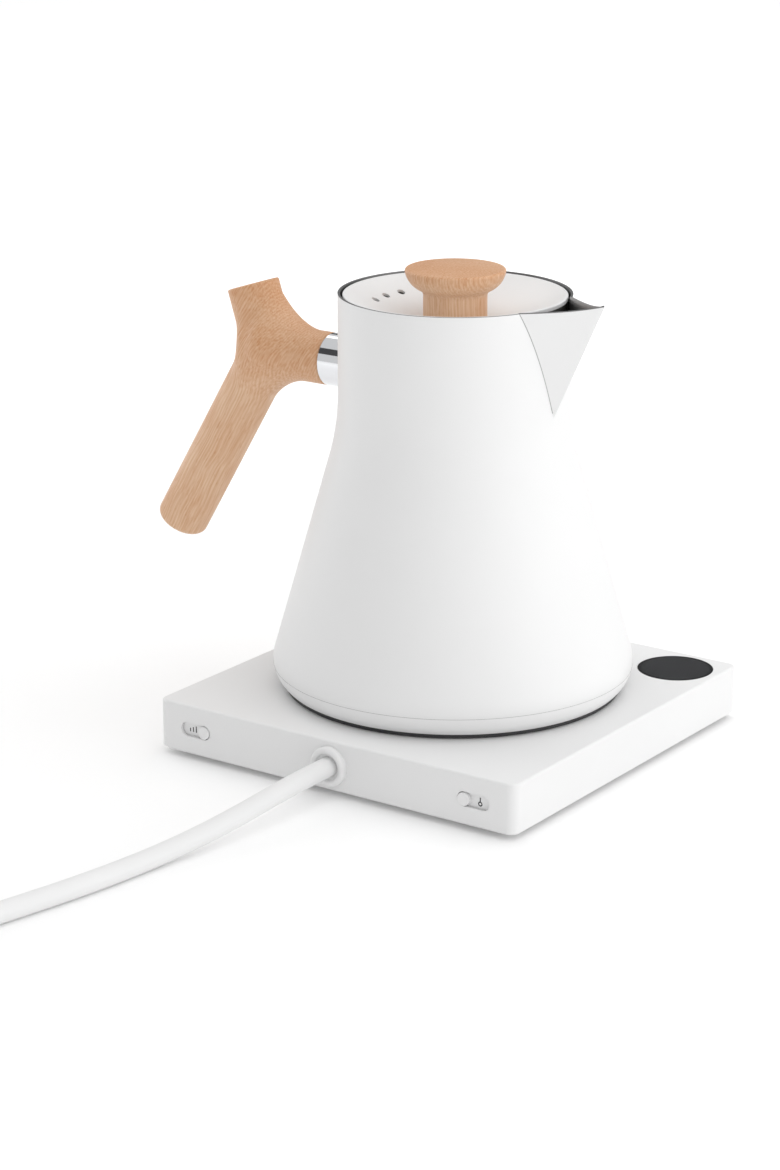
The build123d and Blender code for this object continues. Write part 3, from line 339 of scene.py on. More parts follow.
def polished(name, tint, roughness):
    """Mirror plating with faint smears."""
    tree, shader, place = new_material(name)
    smears = add_node(tree, "ShaderNodeTexNoise", Vector=place, Scale=60.0, Detail=3.0)
    tree.links.new(span(tree, smears.outputs[0], roughness, roughness + 0.06), shader.inputs["Roughness"])
    shader.inputs["Base Color"].default_value = (*tint, 1.0)
    shader.inputs["Metallic"].default_value = 1.0


def wooden(name, light, dark, turn, centre, warmth):
    """Oiled wood whose grain runs along Z after a turn about Y, and which grows warmer up its height."""
    tree, shader, place = new_material(name)
    moved = add_node(tree, "ShaderNodeMapping", Vector=place, Location=[-c for c in centre])
    mapped = add_node(tree, "ShaderNodeMapping", Vector=moved.outputs[0], Rotation=(0.0, turn, 0.0))
    start, end, amount = warmth
    height = add_node(tree, "ShaderNodeSeparateXYZ", Vector=place).outputs["Z"]
    figure = add_group(
        tree,
        "Wood Figure",
        Vector=mapped.outputs[0],
        Light=(*light, 1.0),
        Dark=(*dark, 1.0),
        Warmth=span(tree, height, 0.0, amount, start, end),
    )
    tree.links.new(figure.outputs["Color"], shader.inputs["Base Color"])
    tree.links.new(figure.outputs["Roughness"], shader.inputs["Roughness"])
    shader.inputs["Specular IOR Level"].default_value = 0.4
    add_bump(tree, shader, figure.outputs["Height"], 12e-6)


WINDOW_CLEAR_R = 13.9 * MM
WINDOW_FADE = 0.4 * MM


def window_glass(name, tint, centre):
    """Glossy black window with a slightly darker rim, over an unlit display."""
    tree, shader, place = new_material(name)
    offset = add_node(tree, "ShaderNodeMapping", Vector=place, Location=(-centre[0], -centre[1], 0.0))
    flat = vector_maths(tree, "MULTIPLY", offset.outputs[0], (1.0, 1.0, 0.0))
    reach = vector_maths(tree, "LENGTH", flat.outputs[0]).outputs["Value"]
    rim = span(tree, reach, 0.0, 1.0, WINDOW_CLEAR_R, WINDOW_CLEAR_R + WINDOW_FADE)
    darker = [channel * 0.35 for channel in tint]
    tree.links.new(blend_colours(tree, rim, tint, darker), shader.inputs["Base Color"])
    smears = add_node(tree, "ShaderNodeTexNoise", Vector=place, Scale=90.0, Detail=2.0)
    tree.links.new(span(tree, smears.outputs[0], 0.05, 0.12), shader.inputs["Roughness"])
    shader.inputs["Coat Weight"].default_value = 0.6
    shader.inputs["Coat Roughness"].default_value = 0.04


STUB_WARMTH = (0.135, 0.178, 0.34)  # from this height, up to this height, by how much
KNOB_WARMTH = (0.19, 0.1955, 0.3)
BRUSHED_ROUND = (60.0, 60.0, 3200.0)  # brush marks that run round a turned part


def make_materials():
    """Every finish of the kettle, named for its slot in the record or for its own piece."""
    finish = bpy.context.scene.kettle_finish
    texture_group()
    brushed_group()
    wood_group()
    display_low, display_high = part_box("display_window")
    display_centre = (display_low + display_high) / 2
    textured("white_paint", finish.paint, finish.paint_roughness, 1500.0, 14e-6)
    textured("white_plastic", finish.moulding, 0.5, 2600.0, 9e-6)
    textured("black_plastic", finish.dark_plastic, 0.45, 2200.0, 12e-6)
    textured("foot_rubber", (0.10, 0.10, 0.10), 0.75, 2400.0, 14e-6, specular=0.3)
    textured("silicone", (0.66, 0.66, 0.64), 0.4, 900.0, 4e-6)
    textured("cord_jacket", finish.jacket, 0.5, 1800.0, 10e-6)
    textured("board_laminate", (0.018, 0.10, 0.045), 0.4, 700.0, 8e-6)
    textured("component_case", (0.03, 0.03, 0.032), 0.5, 1400.0, 10e-6)
    textured("lead_insulation", (0.14, 0.14, 0.15), 0.45, 1200.0, 4e-6)
    textured("printed_ink", finish.ink, 0.55, 2600.0, 2e-6)
    textured("seam_shadow", (0.36, 0.36, 0.36), 0.7, 1500.0, 2e-6, specular=0.2)
    brushed("stainless", finish.steel, 0.26, BRUSHED_ROUND)
    # A darkened copy of the stainless for the vessel's inside: painted shade.
    brushed("vessel_inside", finish.inside, 0.32, BRUSHED_ROUND)
    brushed("blade_metal", (0.62, 0.60, 0.54), 0.22, (2200.0, 60.0, 2200.0))
    brushed("contact_brass", (0.66, 0.45, 0.16), 0.25, (90.0, 90.0, 1800.0))
    brushed("heater_aluminium", (0.66, 0.66, 0.67), 0.42, (900.0, 900.0, 900.0), depth=14e-6)
    polished("polished_chrome", finish.chrome, 0.03)
    grip_heart = (JOINT_X, 0.0, 0.15)
    knob_heart = (0.004, 0.0, 0.15)
    wood = (finish.wood_light, finish.wood_dark)
    wooden("pale_wood", *wood, -GRIP_LEAN, grip_heart, STUB_WARMTH)
    wooden("knob_wood", *wood, 0.0, knob_heart, KNOB_WARMTH)
    window_glass("display_glass", finish.window, display_centre)


def material(name):
    """The finished material for a slot of the record."""
    return bpy.data.materials[FINISHED + name]


def dress_node(name, finish=None):
    """Gives a CAD node that stays its finished material."""
    slots = nodes[name].material_slots
    for slot in slots:
        slot.material = material(finish or slot.material.name.removeprefix(FINISHED).split(".")[0])


# ---------------------------------------------------------------- mesh helpers
def add_object(name, data):
    """An object in the scene."""
    made = bpy.data.objects.new(name, data)
    bpy.context.scene.collection.objects.link(made)
    return made


def piece_from(name, bm, *finishes, place=None):
    """A piece whose mesh is what has been drawn so far, put in its place, with its finishes."""
    mesh = bpy.data.meshes.new(name)
    bm.to_mesh(mesh)
    bm.free()
    if place:
        mesh.transform(place)
    for finish in finishes:
        mesh.materials.append(material(finish))
    return add_object(name, mesh)


def shade(piece, sharp_from):
    """Smooth faces, with edges sharper than an angle in degrees left sharp."""
    piece.data.shade_smooth()
    piece.data.set_sharp_from_angle(angle=radians(sharp_from))


def lathe(name, outline, finish, place, segments):
    """Turns a closed (radius, height) outline about Z; points on the axis become poles."""
    bm = bmesh.new()
    rings = []
    for radius, height in outline:
        if radius < 1e-7:
            rings.append([bm.verts.new((0.0, 0.0, height))])
            continue
        turns = [2 * pi * k / segments for k in range(segments)]
        rings.append([bm.verts.new((radius * cos(t), radius * sin(t), height)) for t in turns])
    for first, second in zip(rings, rings[1:] + rings[:1]):
        for k in range(segments):
            after = (k + 1) % segments
            corners = [first[k % len(first)], first[after % len(first)]]
            corners += [second[after % len(second)], second[k % len(second)]]
            corners = list(dict.fromkeys(corners))
            if len(corners) > 2:
                bm.faces.new(corners)
    bmesh.ops.recalc_face_normals(bm, faces=bm.faces)
    piece = piece_from(name, bm, finish, place=place)
    shade(piece, 40)
    return piece


def arc(centre, radius, start, end, steps=8):
    """Points on an arc, with its angles in degrees."""
    turns = [radians(start + (end - start) * k / steps) for k in range(steps + 1)]
    return [(centre[0] + radius * cos(t), centre[1] + radius * sin(t)) for t in turns]


def add_modifier(piece, kind, **settings):
    """A modifier with its settings."""
    made = piece.modifiers.new(kind.title(), kind)
    for name, value in settings.items():
        setattr(made, name, value)


def settle(piece):
    """Turns what the modifiers make into the piece's own plain mesh."""
    graph = bpy.context.evaluated_depsgraph_get()
    finished = bpy.data.meshes.new_from_object(piece.evaluated_get(graph))
    finished.name = piece.name
    piece.modifiers.clear()
    piece.data = finished
    return piece


def attach(piece, body, slot, *replaced):
    """Rides the piece on its body and hides the CAD nodes it stands for; its slot is not used."""
    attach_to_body(piece, body)
    if replaced:
        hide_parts(*replaced)


# ---------------------------------------------------------------- geometry node trees
def new_geometry_tree(name, inputs):
    """An empty geometry tree with its named inputs, a finish and one Geometry output."""
    tree = bpy.data.node_groups.new(name, "GeometryNodeTree")
    for socket, kind in (("Geometry", "Geometry"), *inputs, ("Material", "Material")):
        tree.interface.new_socket(socket, in_out="INPUT", socket_type="NodeSocket" + kind)
    tree.interface.new_socket("Geometry", in_out="OUTPUT", socket_type="NodeSocketGeometry")
    return tree, tree.nodes.new("NodeGroupInput"), tree.nodes.new("NodeGroupOutput")


def end_geometry_tree(tree, result, geometry, finish):
    """Real geometry with its material, which is what leaves every tree."""
    real = add_node(tree, "GeometryNodeRealizeInstances", Geometry=geometry)
    smooth = add_node(tree, "GeometryNodeSetShadeSmooth", Geometry=real.outputs[0])
    painted = add_node(tree, "GeometryNodeSetMaterial", Geometry=smooth.outputs[0], Material=finish)
    tree.links.new(painted.outputs[0], result.inputs[0])


def make_rib_ring():
    """Upright round ribs in a ring about the Z axis, moved to a centre."""
    tree, entry, result = new_geometry_tree(
        "Rib Ring",
        [
            ("Count", "Int"),
            ("Ring Radius", "Float"),
            ("Rib Radius", "Float"),
            ("Rib Height", "Float"),
            ("Centre", "Vector"),
        ],
    )
    given = entry.outputs
    ring = add_node(tree, "GeometryNodeMeshCircle", Vertices=given["Count"], Radius=given["Ring Radius"])
    rib = add_node(
        tree, "GeometryNodeMeshCylinder", Vertices=10, Radius=given["Rib Radius"], Depth=given["Rib Height"]
    )
    points = add_node(tree, "GeometryNodeInstanceOnPoints", Points=ring.outputs[0], Instance=rib.outputs[0])
    moved = add_node(tree, "GeometryNodeTransform", Geometry=points.outputs[0], Translation=given["Centre"])
    end_geometry_tree(tree, result, moved.outputs[0], given["Material"])


def make_bead():
    """A round bead of the given radius along the edges of a path."""
    tree, entry, result = new_geometry_tree("Bead Along Path", [("Bead Radius", "Float")])
    path = add_node(tree, "GeometryNodeMeshToCurve", Mesh=entry.outputs["Geometry"])
    round_profile = add_node(
        tree, "GeometryNodeCurvePrimitiveCircle", Resolution=12, Radius=entry.outputs["Bead Radius"]
    )
    bead = add_node(
        tree,
        "GeometryNodeCurveToMesh",
        Curve=path.outputs[0],
        Profile_Curve=round_profile.outputs[0],
        Fill_Caps=True,
    )
    end_geometry_tree(tree, result, bead.outputs[0], entry.outputs["Material"])


def make_ridge_row():
    """A row of rounded ridges, set out along Z and then placed by a turn and a centre."""
    tree, entry, result = new_geometry_tree(
        "Ridge Row",
        [
            ("Count", "Int"),
            ("Pitch", "Float"),
            ("Ridge Length", "Float"),
            ("Ridge Radius", "Float"),
            ("Centre", "Vector"),
            ("Turn", "Rotation"),
        ],
    )
    given = entry.outputs
    step = add_node(tree, "ShaderNodeCombineXYZ", Y=given["Pitch"])
    row = add_node(tree, "GeometryNodeMeshLine", Count=given["Count"], Offset=step.outputs[0])
    ridge = add_node(
        tree,
        "GeometryNodeMeshCylinder",
        Vertices=12,
        Radius=given["Ridge Radius"],
        Depth=given["Ridge Length"],
    )
    points = add_node(tree, "GeometryNodeInstanceOnPoints", Points=row.outputs[0], Instance=ridge.outputs[0])
    placed = add_node(
        tree,
        "GeometryNodeTransform",
        Geometry=points.outputs[0],
        Translation=given["Centre"],
        Rotation=given["Turn"],
    )
    end_geometry_tree(tree, result, placed.outputs[0], given["Material"])


def make_trees():
    """The geometry trees that the pieces share."""
    make_rib_ring()
    make_bead()
    make_ridge_row()


def from_tree(name, tree_name, verts=(), edges=(), **inputs):
    """A plain mesh made by a geometry tree with its inputs set by name."""
    tree = bpy.data.node_groups[tree_name]
    mesh = bpy.data.meshes.new(name)
    mesh.from_pydata(verts, edges, [])
    piece = add_object(name, mesh)
    made = piece.modifiers.new("Shape", "NODES")
    made.node_group = tree
    for socket in tree.interface.items_tree:
        value = inputs.get(socket.name.replace(" ", "_"))
        if socket.in_out == "INPUT" and value is not None:
            made[socket.identifier] = value
    return settle(piece)


# ---------------------------------------------------------------- vessel
CONE_LEAN = radians(15.72)
NECK_CORNER_Z = 131.6 * MM
NECK_BLEND_R = 100.0 * MM
ROUND_R = 12.6 * MM
ROUND_Z = 34.5 * MM
SPOUT_APEX_Z = 140.5 * MM
SPOUT_PLAN = radians(37.4)
FOOT_SEAM_Z = 32.6 * MM
SEAM_R = 0.16 * MM


def wall_radius(neck_r, z):
    """Outer radius of the vessel: neck, concave blend, cone, and the round at its foot."""
    blend_reach = NECK_BLEND_R * tan(CONE_LEAN / 2)
    blend_top = NECK_CORNER_Z + blend_reach
    blend_low = NECK_CORNER_Z - blend_reach * cos(CONE_LEAN)
    round_centre = neck_r + (NECK_CORNER_Z - ROUND_Z) * tan(CONE_LEAN) - ROUND_R / cos(CONE_LEAN)
    if z >= blend_top:
        return neck_r
    if z >= blend_low:
        return neck_r + NECK_BLEND_R - sqrt(NECK_BLEND_R**2 - (blend_top - z) ** 2)
    if z >= ROUND_Z + ROUND_R * sin(CONE_LEAN):
        return neck_r + (NECK_CORNER_Z - z) * tan(CONE_LEAN)
    return round_centre + sqrt(ROUND_R**2 - (z - ROUND_Z) ** 2)


class SpoutShape:
    """The folded sheet: two planes that meet in a ridge from the neck up to the tip."""

    def __init__(self, neck_r):
        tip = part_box("pour_spout")[1]
        self.neck_r = neck_r
        self.tip = Vector((tip.x, 0.0, tip.z))
        self.rim_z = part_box("body_shell")[1].z
        self.apex = Vector((neck_r, 0.0, SPOUT_APEX_Z))
        fold = self.tip - self.apex
        self.slope = fold.x / fold.z
        self.normal = Vector((-cos(SPOUT_PLAN), sin(SPOUT_PLAN), 0.0)).cross(fold).normalized()
        low = self.apex.z
        high = self.apex.z + 10 * MM
        for _ in range(40):
            middle = (low + high) / 2
            if self.ridge_x(middle) < wall_radius(neck_r, middle):
                low = middle
            else:
                high = middle
        self.start_z = high

    def ridge_x(self, z):
        return self.apex.x + (z - self.apex.z) * self.slope

    def seam_angle(self, z):
        """Half angle of the mouth that the spout leaves in the neck at a height."""
        if z <= self.start_z:
            return 0.0
        radius = wall_radius(self.neck_r, z)
        along = self.normal.x * radius
        across = abs(self.normal.y) * radius
        level = self.normal.x * self.apex.x - self.normal.z * (z - self.apex.z)
        return atan2(across, along) - acos(min(1.0, level / sqrt(along**2 + across**2)))

    def lip_z(self, x):
        """Height of the pouring lip, which rises gently towards the tip."""
        start = self.neck_r * cos(self.seam_angle(self.rim_z))
        way = max(0.0, (x - start) / (self.tip.x - start))
        return self.rim_z + (self.tip.z - self.rim_z) * (0.25 * way + 0.75 * way**3)

    def level_point(self, across, z):
        """A point of one sheet at a height: across from the seam at 0 to the ridge at 1."""
        turn = self.seam_angle(z)
        radius = wall_radius(self.neck_r, z)
        x = radius * cos(turn) + across * (self.ridge_x(z) - radius * cos(turn))
        return x, radius * sin(turn) * (1 - across)

    def sheet_row(self, side, across, steps):
        """Points up one sheet, from its foot to its lip."""
        top_z = self.rim_z
        if across > 0:
            for _ in range(20):
                top_z = self.lip_z(self.level_point(across, top_z)[0])
        heights = [self.start_z + (top_z - self.start_z) * k / steps for k in range(steps + 1)]
        return [(x, side * y, z) for z in heights for x, y in [self.level_point(across, z)]]


def make_vessel():
    """Neck, cone and folded spout in one sheet: paint outside, brushed steel inside, darkened as painted
    shade.
    """
    sizes = bpy.context.scene.kettle_sizes
    neck_r = sizes.neck_radius
    spout = SpoutShape(neck_r)
    foot_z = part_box("body_shell")[0].z
    columns = 192
    low_rows = [foot_z + (spout.start_z - foot_z) * k / 46 for k in range(47)]
    high_rows = [spout.start_z + (spout.rim_z - spout.start_z) * (k / 28) for k in range(1, 29)]
    bm = bmesh.new()
    wall = []
    for z in low_rows + high_rows:
        opening = spout.seam_angle(z)
        radius = wall_radius(neck_r, z)
        row = []
        for k in range(columns + 1):
            turn = opening + (2 * pi - 2 * opening) * k / columns
            row.append(bm.verts.new((radius * cos(turn), radius * sin(turn), z)))
        wall.append(row)
    for lower, upper in zip(wall, wall[1:]):
        for k in range(columns):
            bm.faces.new((lower[k], lower[k + 1], upper[k + 1], upper[k]))
    across_steps = 14
    up_steps = len(high_rows)
    for side in (1, -1):
        sheet = []
        for i in range(across_steps + 1):
            sheet.append([bm.verts.new(p) for p in spout.sheet_row(side, i / across_steps, up_steps)])
        for near, far in zip(sheet, sheet[1:]):
            for j in range(up_steps):
                corners = (near[j], far[j], far[j + 1], near[j + 1])
                bm.faces.new(corners if side < 0 else corners[::-1])
    bmesh.ops.remove_doubles(bm, verts=bm.verts, dist=0.03 * MM)
    bmesh.ops.dissolve_degenerate(bm, edges=bm.edges, dist=0.01 * MM)
    bmesh.ops.recalc_face_normals(bm, faces=bm.faces)
    if sum(face.normal.x * face.calc_center_median().x for face in bm.faces) < 0:
        bmesh.ops.reverse_faces(bm, faces=bm.faces)
    weight = bm.edges.layers.float.new("bevel_weight_edge")
    for edge in bm.edges:
        if len(edge.link_faces) == 2 and edge.calc_face_angle() > radians(12):
            on_ridge = max(abs(v.co.y) for v in edge.verts) < 0.05 * MM
            edge[weight] = 1.0 if on_ridge else sizes.seam_round / sizes.fold_round
    shell = piece_from("vessel_shell", bm, "white_paint", "vessel_inside")
    add_modifier(
        shell, "BEVEL", limit_method="WEIGHT", width=sizes.fold_round, segments=3, use_clamp_overlap=True
    )
    add_modifier(
        shell,
        "SOLIDIFY",
        thickness=sizes.sheet,
        offset=-1.0,
        use_even_offset=True,
        material_offset=1,
        material_offset_rim=1,
    )
    settle(shell)
    lip_edges = radians(60)
    add_modifier(
        shell, "BEVEL", limit_method="ANGLE", angle_limit=lip_edges, width=sizes.lip_round, segments=2
    )
    settle(shell)
    shade(shell, 32)
    attach(shell, "kettle", "white_paint", "body_shell", "pour_spout")
    make_seams(spout)


def make_seams(spout):
    """Grey beads that paint the shade in the fine grooves where the spout's sheets meet the neck and where
    the cover meets the foot.
    """
    steps = 40
    for side, name in ((1, "spout_seam_left"), (-1, "spout_seam_right")):
        verts = spout.sheet_row(side, 0.0, steps)[2:]
        edges = [(k, k + 1) for k in range(len(verts) - 1)]
        seam = from_tree(
            name, "Bead Along Path", verts, edges, Bead_Radius=SEAM_R, Material=material("seam_shadow")
        )
        attach(seam, "kettle", "white_paint")
    turns = [2 * pi * k / 192 for k in range(192)]
    radius = wall_radius(spout.neck_r, FOOT_SEAM_Z) - 0.03 * MM
    verts = [(radius * cos(t), radius * sin(t), FOOT_SEAM_Z) for t in turns]
    edges = [(k, (k + 1) % 192) for k in range(192)]
    foot_seam = from_tree(
        "foot_seam",
        "Bead Along Path",
        verts,
        edges,
        Bead_Radius=SEAM_R / 2,
        Material=material("seam_shadow"),
    )
    attach(foot_seam, "kettle", "white_paint")


# ---------------------------------------------------------------- wooden handle
def rounded_cylinder(points, base, axis, length, radius, edge):
    """Signed distance to a cylinder with rounded edges."""
    away = points - base
    height = away @ axis
    reach = np.linalg.norm(away - height[:, None] * axis, axis=1)
    out = reach - (radius - edge)
    past = np.abs(height - length / 2) - (length / 2 - edge)
    inside = np.minimum(np.maximum(out, past), 0)
    return inside + np.hypot(np.maximum(out, 0), np.maximum(past, 0)) - edge


def round_union(first, second, blend):
    """Joins two signed distances with a concave round between them."""
    corner = np.hypot(np.maximum(blend - first, 0), np.maximum(blend - second, 0))
    return np.maximum(blend, np.minimum(first, second)) - corner


JOINT_X = -92.0 * MM
GRIP_LEAN = radians(30.9)
STUB_TILT = radians(17.8)
GRIP_LENGTH = 95.3 * MM
GRIP_R = 11.0 * MM
GRIP_END_ROUND = 2.5 * MM
STUB_LENGTH = 27.8 * MM
STUB_R = 10.9 * MM
STUB_EDGE_ROUND = 0.8 * MM
NECK_R = 10.85 * MM
NECK_EDGE_ROUND = 0.3 * MM
LIMB_ROOT = 4.0 * MM  # how far a limb runs on past the joint
STUB_ROUGH_R = 10.75 * MM
KNOT_ROUGH_R = 14.0 * MM
KNOT_SHIFT = [0.006, 0.0, 0.002]


class HandleShape:
    """Three round limbs, the grip, the stub and the ferrule's end, grown into one Y of wood."""

    def __init__(self, sizes):
        ferrule_low, ferrule_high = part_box("handle_ferrule")
        self.joint = np.array([JOINT_X, 0.0, (ferrule_low.z + ferrule_high.z) / 2])
        self.grip = np.array([-sin(GRIP_LEAN), 0.0, -cos(GRIP_LEAN)])
        self.stub = np.array([-sin(STUB_TILT), 0.0, cos(STUB_TILT)])
        self.neck_length = ferrule_low.x - self.joint[0]
        self.sizes = sizes

    def distance(self, points):
        """Signed distance from the wood's face."""
        x_axis = np.array([1.0, 0.0, 0.0])
        root = LIMB_ROOT
        grip_base = self.joint - self.grip * root
        stub_base = self.joint - self.stub * root / 2
        neck_base = self.joint - x_axis * root
        grip = rounded_cylinder(points, grip_base, self.grip, GRIP_LENGTH + root, GRIP_R, GRIP_END_ROUND)
        stub = rounded_cylinder(
            points, stub_base, self.stub, STUB_LENGTH + root / 2, STUB_R, STUB_EDGE_ROUND
        )
        neck = rounded_cylinder(
            points, neck_base, x_axis, self.neck_length + root, NECK_R, NECK_EDGE_ROUND
        )
        away = points - self.joint
        side = np.clip(away[:, 0] / (8 * MM) + 0.5, 0, 1)
        rise = np.clip(away[:, 2] / (10 * MM) + 0.9, 0, 1)
        share = side * side * (3 - 2 * side) * rise
        blend = self.sizes.waist_blend + (self.sizes.upper_blend - self.sizes.waist_blend) * share
        lower = round_union(grip, neck, self.sizes.crotch_blend)
        wood = round_union(lower, stub, blend)
        end_face = points[:, 0] - (self.joint[0] + self.neck_length)
        return np.maximum(wood, end_face)

    def settle_points(self, points, rounds=6):
        """Moves points onto the wood's face."""
        step = 0.02 * MM
        for _ in range(rounds):
            value = self.distance(points)
            slope = np.stack(
                [
                    (self.distance(points + step * way) - self.distance(points - step * way)) / (2 * step)
                    for way in np.eye(3)
                ],
                axis=1,
            )
            size = np.maximum(np.linalg.norm(slope, axis=1), 0.3)
            points = points - slope * (value / size**2)[:, None]
        return points


def make_handle():
    """The Y handle's wood, remeshed evenly and then drawn onto its exact shape."""
    sizes = bpy.context.scene.kettle_sizes
    shape = HandleShape(sizes)
    bm = bmesh.new()
    limbs = (
        (shape.grip, GRIP_LENGTH, GRIP_R),
        (shape.stub, STUB_LENGTH, STUB_ROUGH_R),
        (np.array([1.0, 0.0, 0.0]), shape.neck_length, NECK_R),
    )
    for axis, reach, radius in limbs:
        turn = Vector((0, 0, 1)).rotation_difference(Vector(axis)).to_matrix().to_4x4()
        middle = Matrix.Translation(Vector(shape.joint + axis * reach / 2))
        bmesh.ops.create_cone(
            bm, cap_ends=True, segments=64, radius1=radius, radius2=radius, depth=reach, matrix=middle @ turn
        )
    knot = Matrix.Translation(Vector(shape.joint + KNOT_SHIFT))
    bmesh.ops.create_icosphere(bm, subdivisions=4, radius=KNOT_ROUGH_R, matrix=knot)
    piece = piece_from("wood_handle", bm)
    add_modifier(piece, "REMESH", mode="VOXEL", voxel_size=sizes.handle_cell)
    settle(piece)
    bm = bmesh.new()
    bm.from_mesh(piece.data)
    for _ in range(3):
        points = shape.settle_points(np.array([v.co for v in bm.verts]))
        for vert, point in zip(bm.verts, points):
            vert.co = point
        bmesh.ops.smooth_vert(
            bm, verts=bm.verts, factor=0.5, use_axis_x=True, use_axis_y=True, use_axis_z=True
        )
    points = shape.settle_points(np.array([v.co for v in bm.verts]), rounds=8)
    for vert, point in zip(bm.verts, points):
        vert.co = point
    bm.to_mesh(piece.data)
    bm.free()
    piece.data.materials.clear()
    piece.data.materials.append(material("pale_wood"))
    piece.data.shade_smooth()
    attach(piece, "kettle", "pale_wood", "handle_grip")
    dress_node("handle_ferrule")


# ---------------------------------------------------------------- stage
FLOOR_SIDE = 18.0
GLOW_START = 0.3  # the floor's own light grows from this distance
GLOW_END = 0.9
NEAR_GLOW = 0.065
FAR_GLOW = 0.3
AMBIENT = 0.695
FERRULE = Vector((-0.06, 0.0, 0.15))
SOFTBOXES = (
    ("right_softbox", (1.6, -0.5, 0.8), 2.4, 1.8, 6.6),
    ("top_softbox", (0.3, 0.5, 1.8), 2.4, 2.4, 14.4),
    ("left_softbox", (-1.7, 0.2, 1.0), 2.0, 1.6, 12.0),
    ("side_softbox", (1.7, 0.6, 0.3), 2.4, 0.9, 7.6),
)
CAMERA_LENS = 94.64
CAMERA_PLACE = (0.6626, -0.9901, 0.43925)
CAMERA_DIP = 17.475  # degrees below level
CAMERA_TURN = 35.03


def aim(thing, target):
    """Turns a lamp or a card to face a point."""
    thing.rotation_euler = (Vector(target) - thing.location).to_track_quat("-Z", "Y").to_euler()


def add_softbox(name, place, target, width, height, power):
    """A large soft lamp that faces a point."""
    lamp = bpy.data.lights.new(name, "AREA")
    lamp.shape = "RECTANGLE"
    lamp.size = width
    lamp.size_y = height
    lamp.energy = power
    made = add_object(name, lamp)
    made.location = place
    aim(made, target)


def add_sheet(name, width, height, finish):
    """A flat rectangle about the origin."""
    mesh = bpy.data.meshes.new(name)
    x = width / 2
    y = height / 2
    mesh.from_pydata([(-x, -y, 0), (x, -y, 0), (x, y, 0), (-x, y, 0)], [], [(0, 1, 2, 3)])
    mesh.materials.append(material(finish))
    return add_object(name, mesh)


def add_flag(name, way, distance, width, height):
    """A black card for the polished parts to reflect; the camera itself never sees it."""
    card = add_sheet(name, width, height, "black_plastic")
    card.location = FERRULE + Vector(way).normalized() * distance
    aim(card, FERRULE)
    card.visible_camera = False


def make_floor():
    """Pale paper that brightens away from the kettle."""
    tree, shader, place = new_material("floor_paper")
    grain = add_node(tree, "ShaderNodeTexNoise", Vector=place, Scale=600.0, Detail=2.0)
    tone = blend_colours(tree, grain.outputs[0], (0.93, 0.93, 0.93), (0.91, 0.91, 0.91))
    tree.links.new(tone, shader.inputs["Base Color"])
    shader.inputs["Roughness"].default_value = 0.9
    shader.inputs["Specular IOR Level"].default_value = 0.1
    away = vector_maths(tree, "LENGTH", place).outputs["Value"]
    glow = span(tree, away, NEAR_GLOW, FAR_GLOW, GLOW_START, GLOW_END)
    tree.links.new(glow, shader.inputs["Emission Strength"])
    shader.inputs["Emission Color"].default_value = (1.0, 1.0, 1.0, 1.0)
    add_sheet("floor", FLOOR_SIDE, FLOOR_SIDE, "floor_paper")


def make_stage():
    """Pale floor, soft studio light and the camera."""
    make_floor()
    world = bpy.data.worlds.new("studio")
    world.use_nodes = True
    backdrop = world.node_tree.nodes["Background"]
    backdrop.inputs["Color"].default_value = (1.0, 1.0, 1.0, 1.0)
    seen = world.node_tree.nodes.new("ShaderNodeLightPath").outputs["Is Camera Ray"]
    strength = maths(world.node_tree, "MAXIMUM", seen, AMBIENT)
    world.node_tree.links.new(strength, backdrop.inputs["Strength"])
    scene = bpy.context.scene
    scene.world = world
    scene.view_settings.view_transform = "Standard"
    for name, place, width, height, power in SOFTBOXES:
        add_softbox(name, place, (0.0, 0.0, 0.1), width, height, power)
    add_flag("front_flag", (-0.55, -0.62, 0.56), 1.5, 1.5, 0.52)
    add_flag("back_flag", (-0.55, 0.78, 0.34), 1.6, 1.6, 0.36)

    camera_data = bpy.data.cameras.new("camera")
    camera_data.lens = CAMERA_LENS
    camera_data.sensor_width = 36.0
    camera_data.clip_start = 0.05
    camera_data.clip_end = 50.0
    camera = add_object("camera", camera_data)
    camera.location = CAMERA_PLACE
    camera.rotation_euler = Euler((radians(90 - CAMERA_DIP), 0.0, radians(CAMERA_TURN)))
    scene.camera = camera


# ---------------------------------------------------------------- cord and plug
CORD_START_Y = -86.5
CORD_ROUTE = [
    (0.0, 0.0, 12.5),
    (0.0, -26.0, 12.5),
    (-3.2, -57.0, 8.3),
    (-9.6, -88.0, 4.1),
    (-14.2, -126.0, 4.1),
    (-22.5, -164.0, 4.1),
    (-31.0, -200.0, 4.1),
]
COIL_OUTER_R = 44.0
COIL_INNER_R = 35.7
COIL_TOP_R = 39.85
FLOOR_LAYER_Z = 4.1
TOP_LAYER_Z = 12.2
COIL_INWARD_AT = 300.0  # degrees round the coil
COIL_CLIMB_AT = 570.0
COIL_SPREAD_AT = 660.0
TAIL_ANGLE = 200.0
TAIL_LENGTH = 36.0
RELIEF_LENGTH = 24.0
PLUG_LENGTH = 31.0
PLUG_TAPER = 19.0
RIDGE_PITCH = 2.1 * MM
RIDGE_LENGTH = 15.0 * MM
RIDGE_R = 0.5 * MM


def ease(way):
    """A smooth step from 0 to 1."""
    way = min(1.0, max(0.0, way))
    return way * way * (3 - 2 * way)


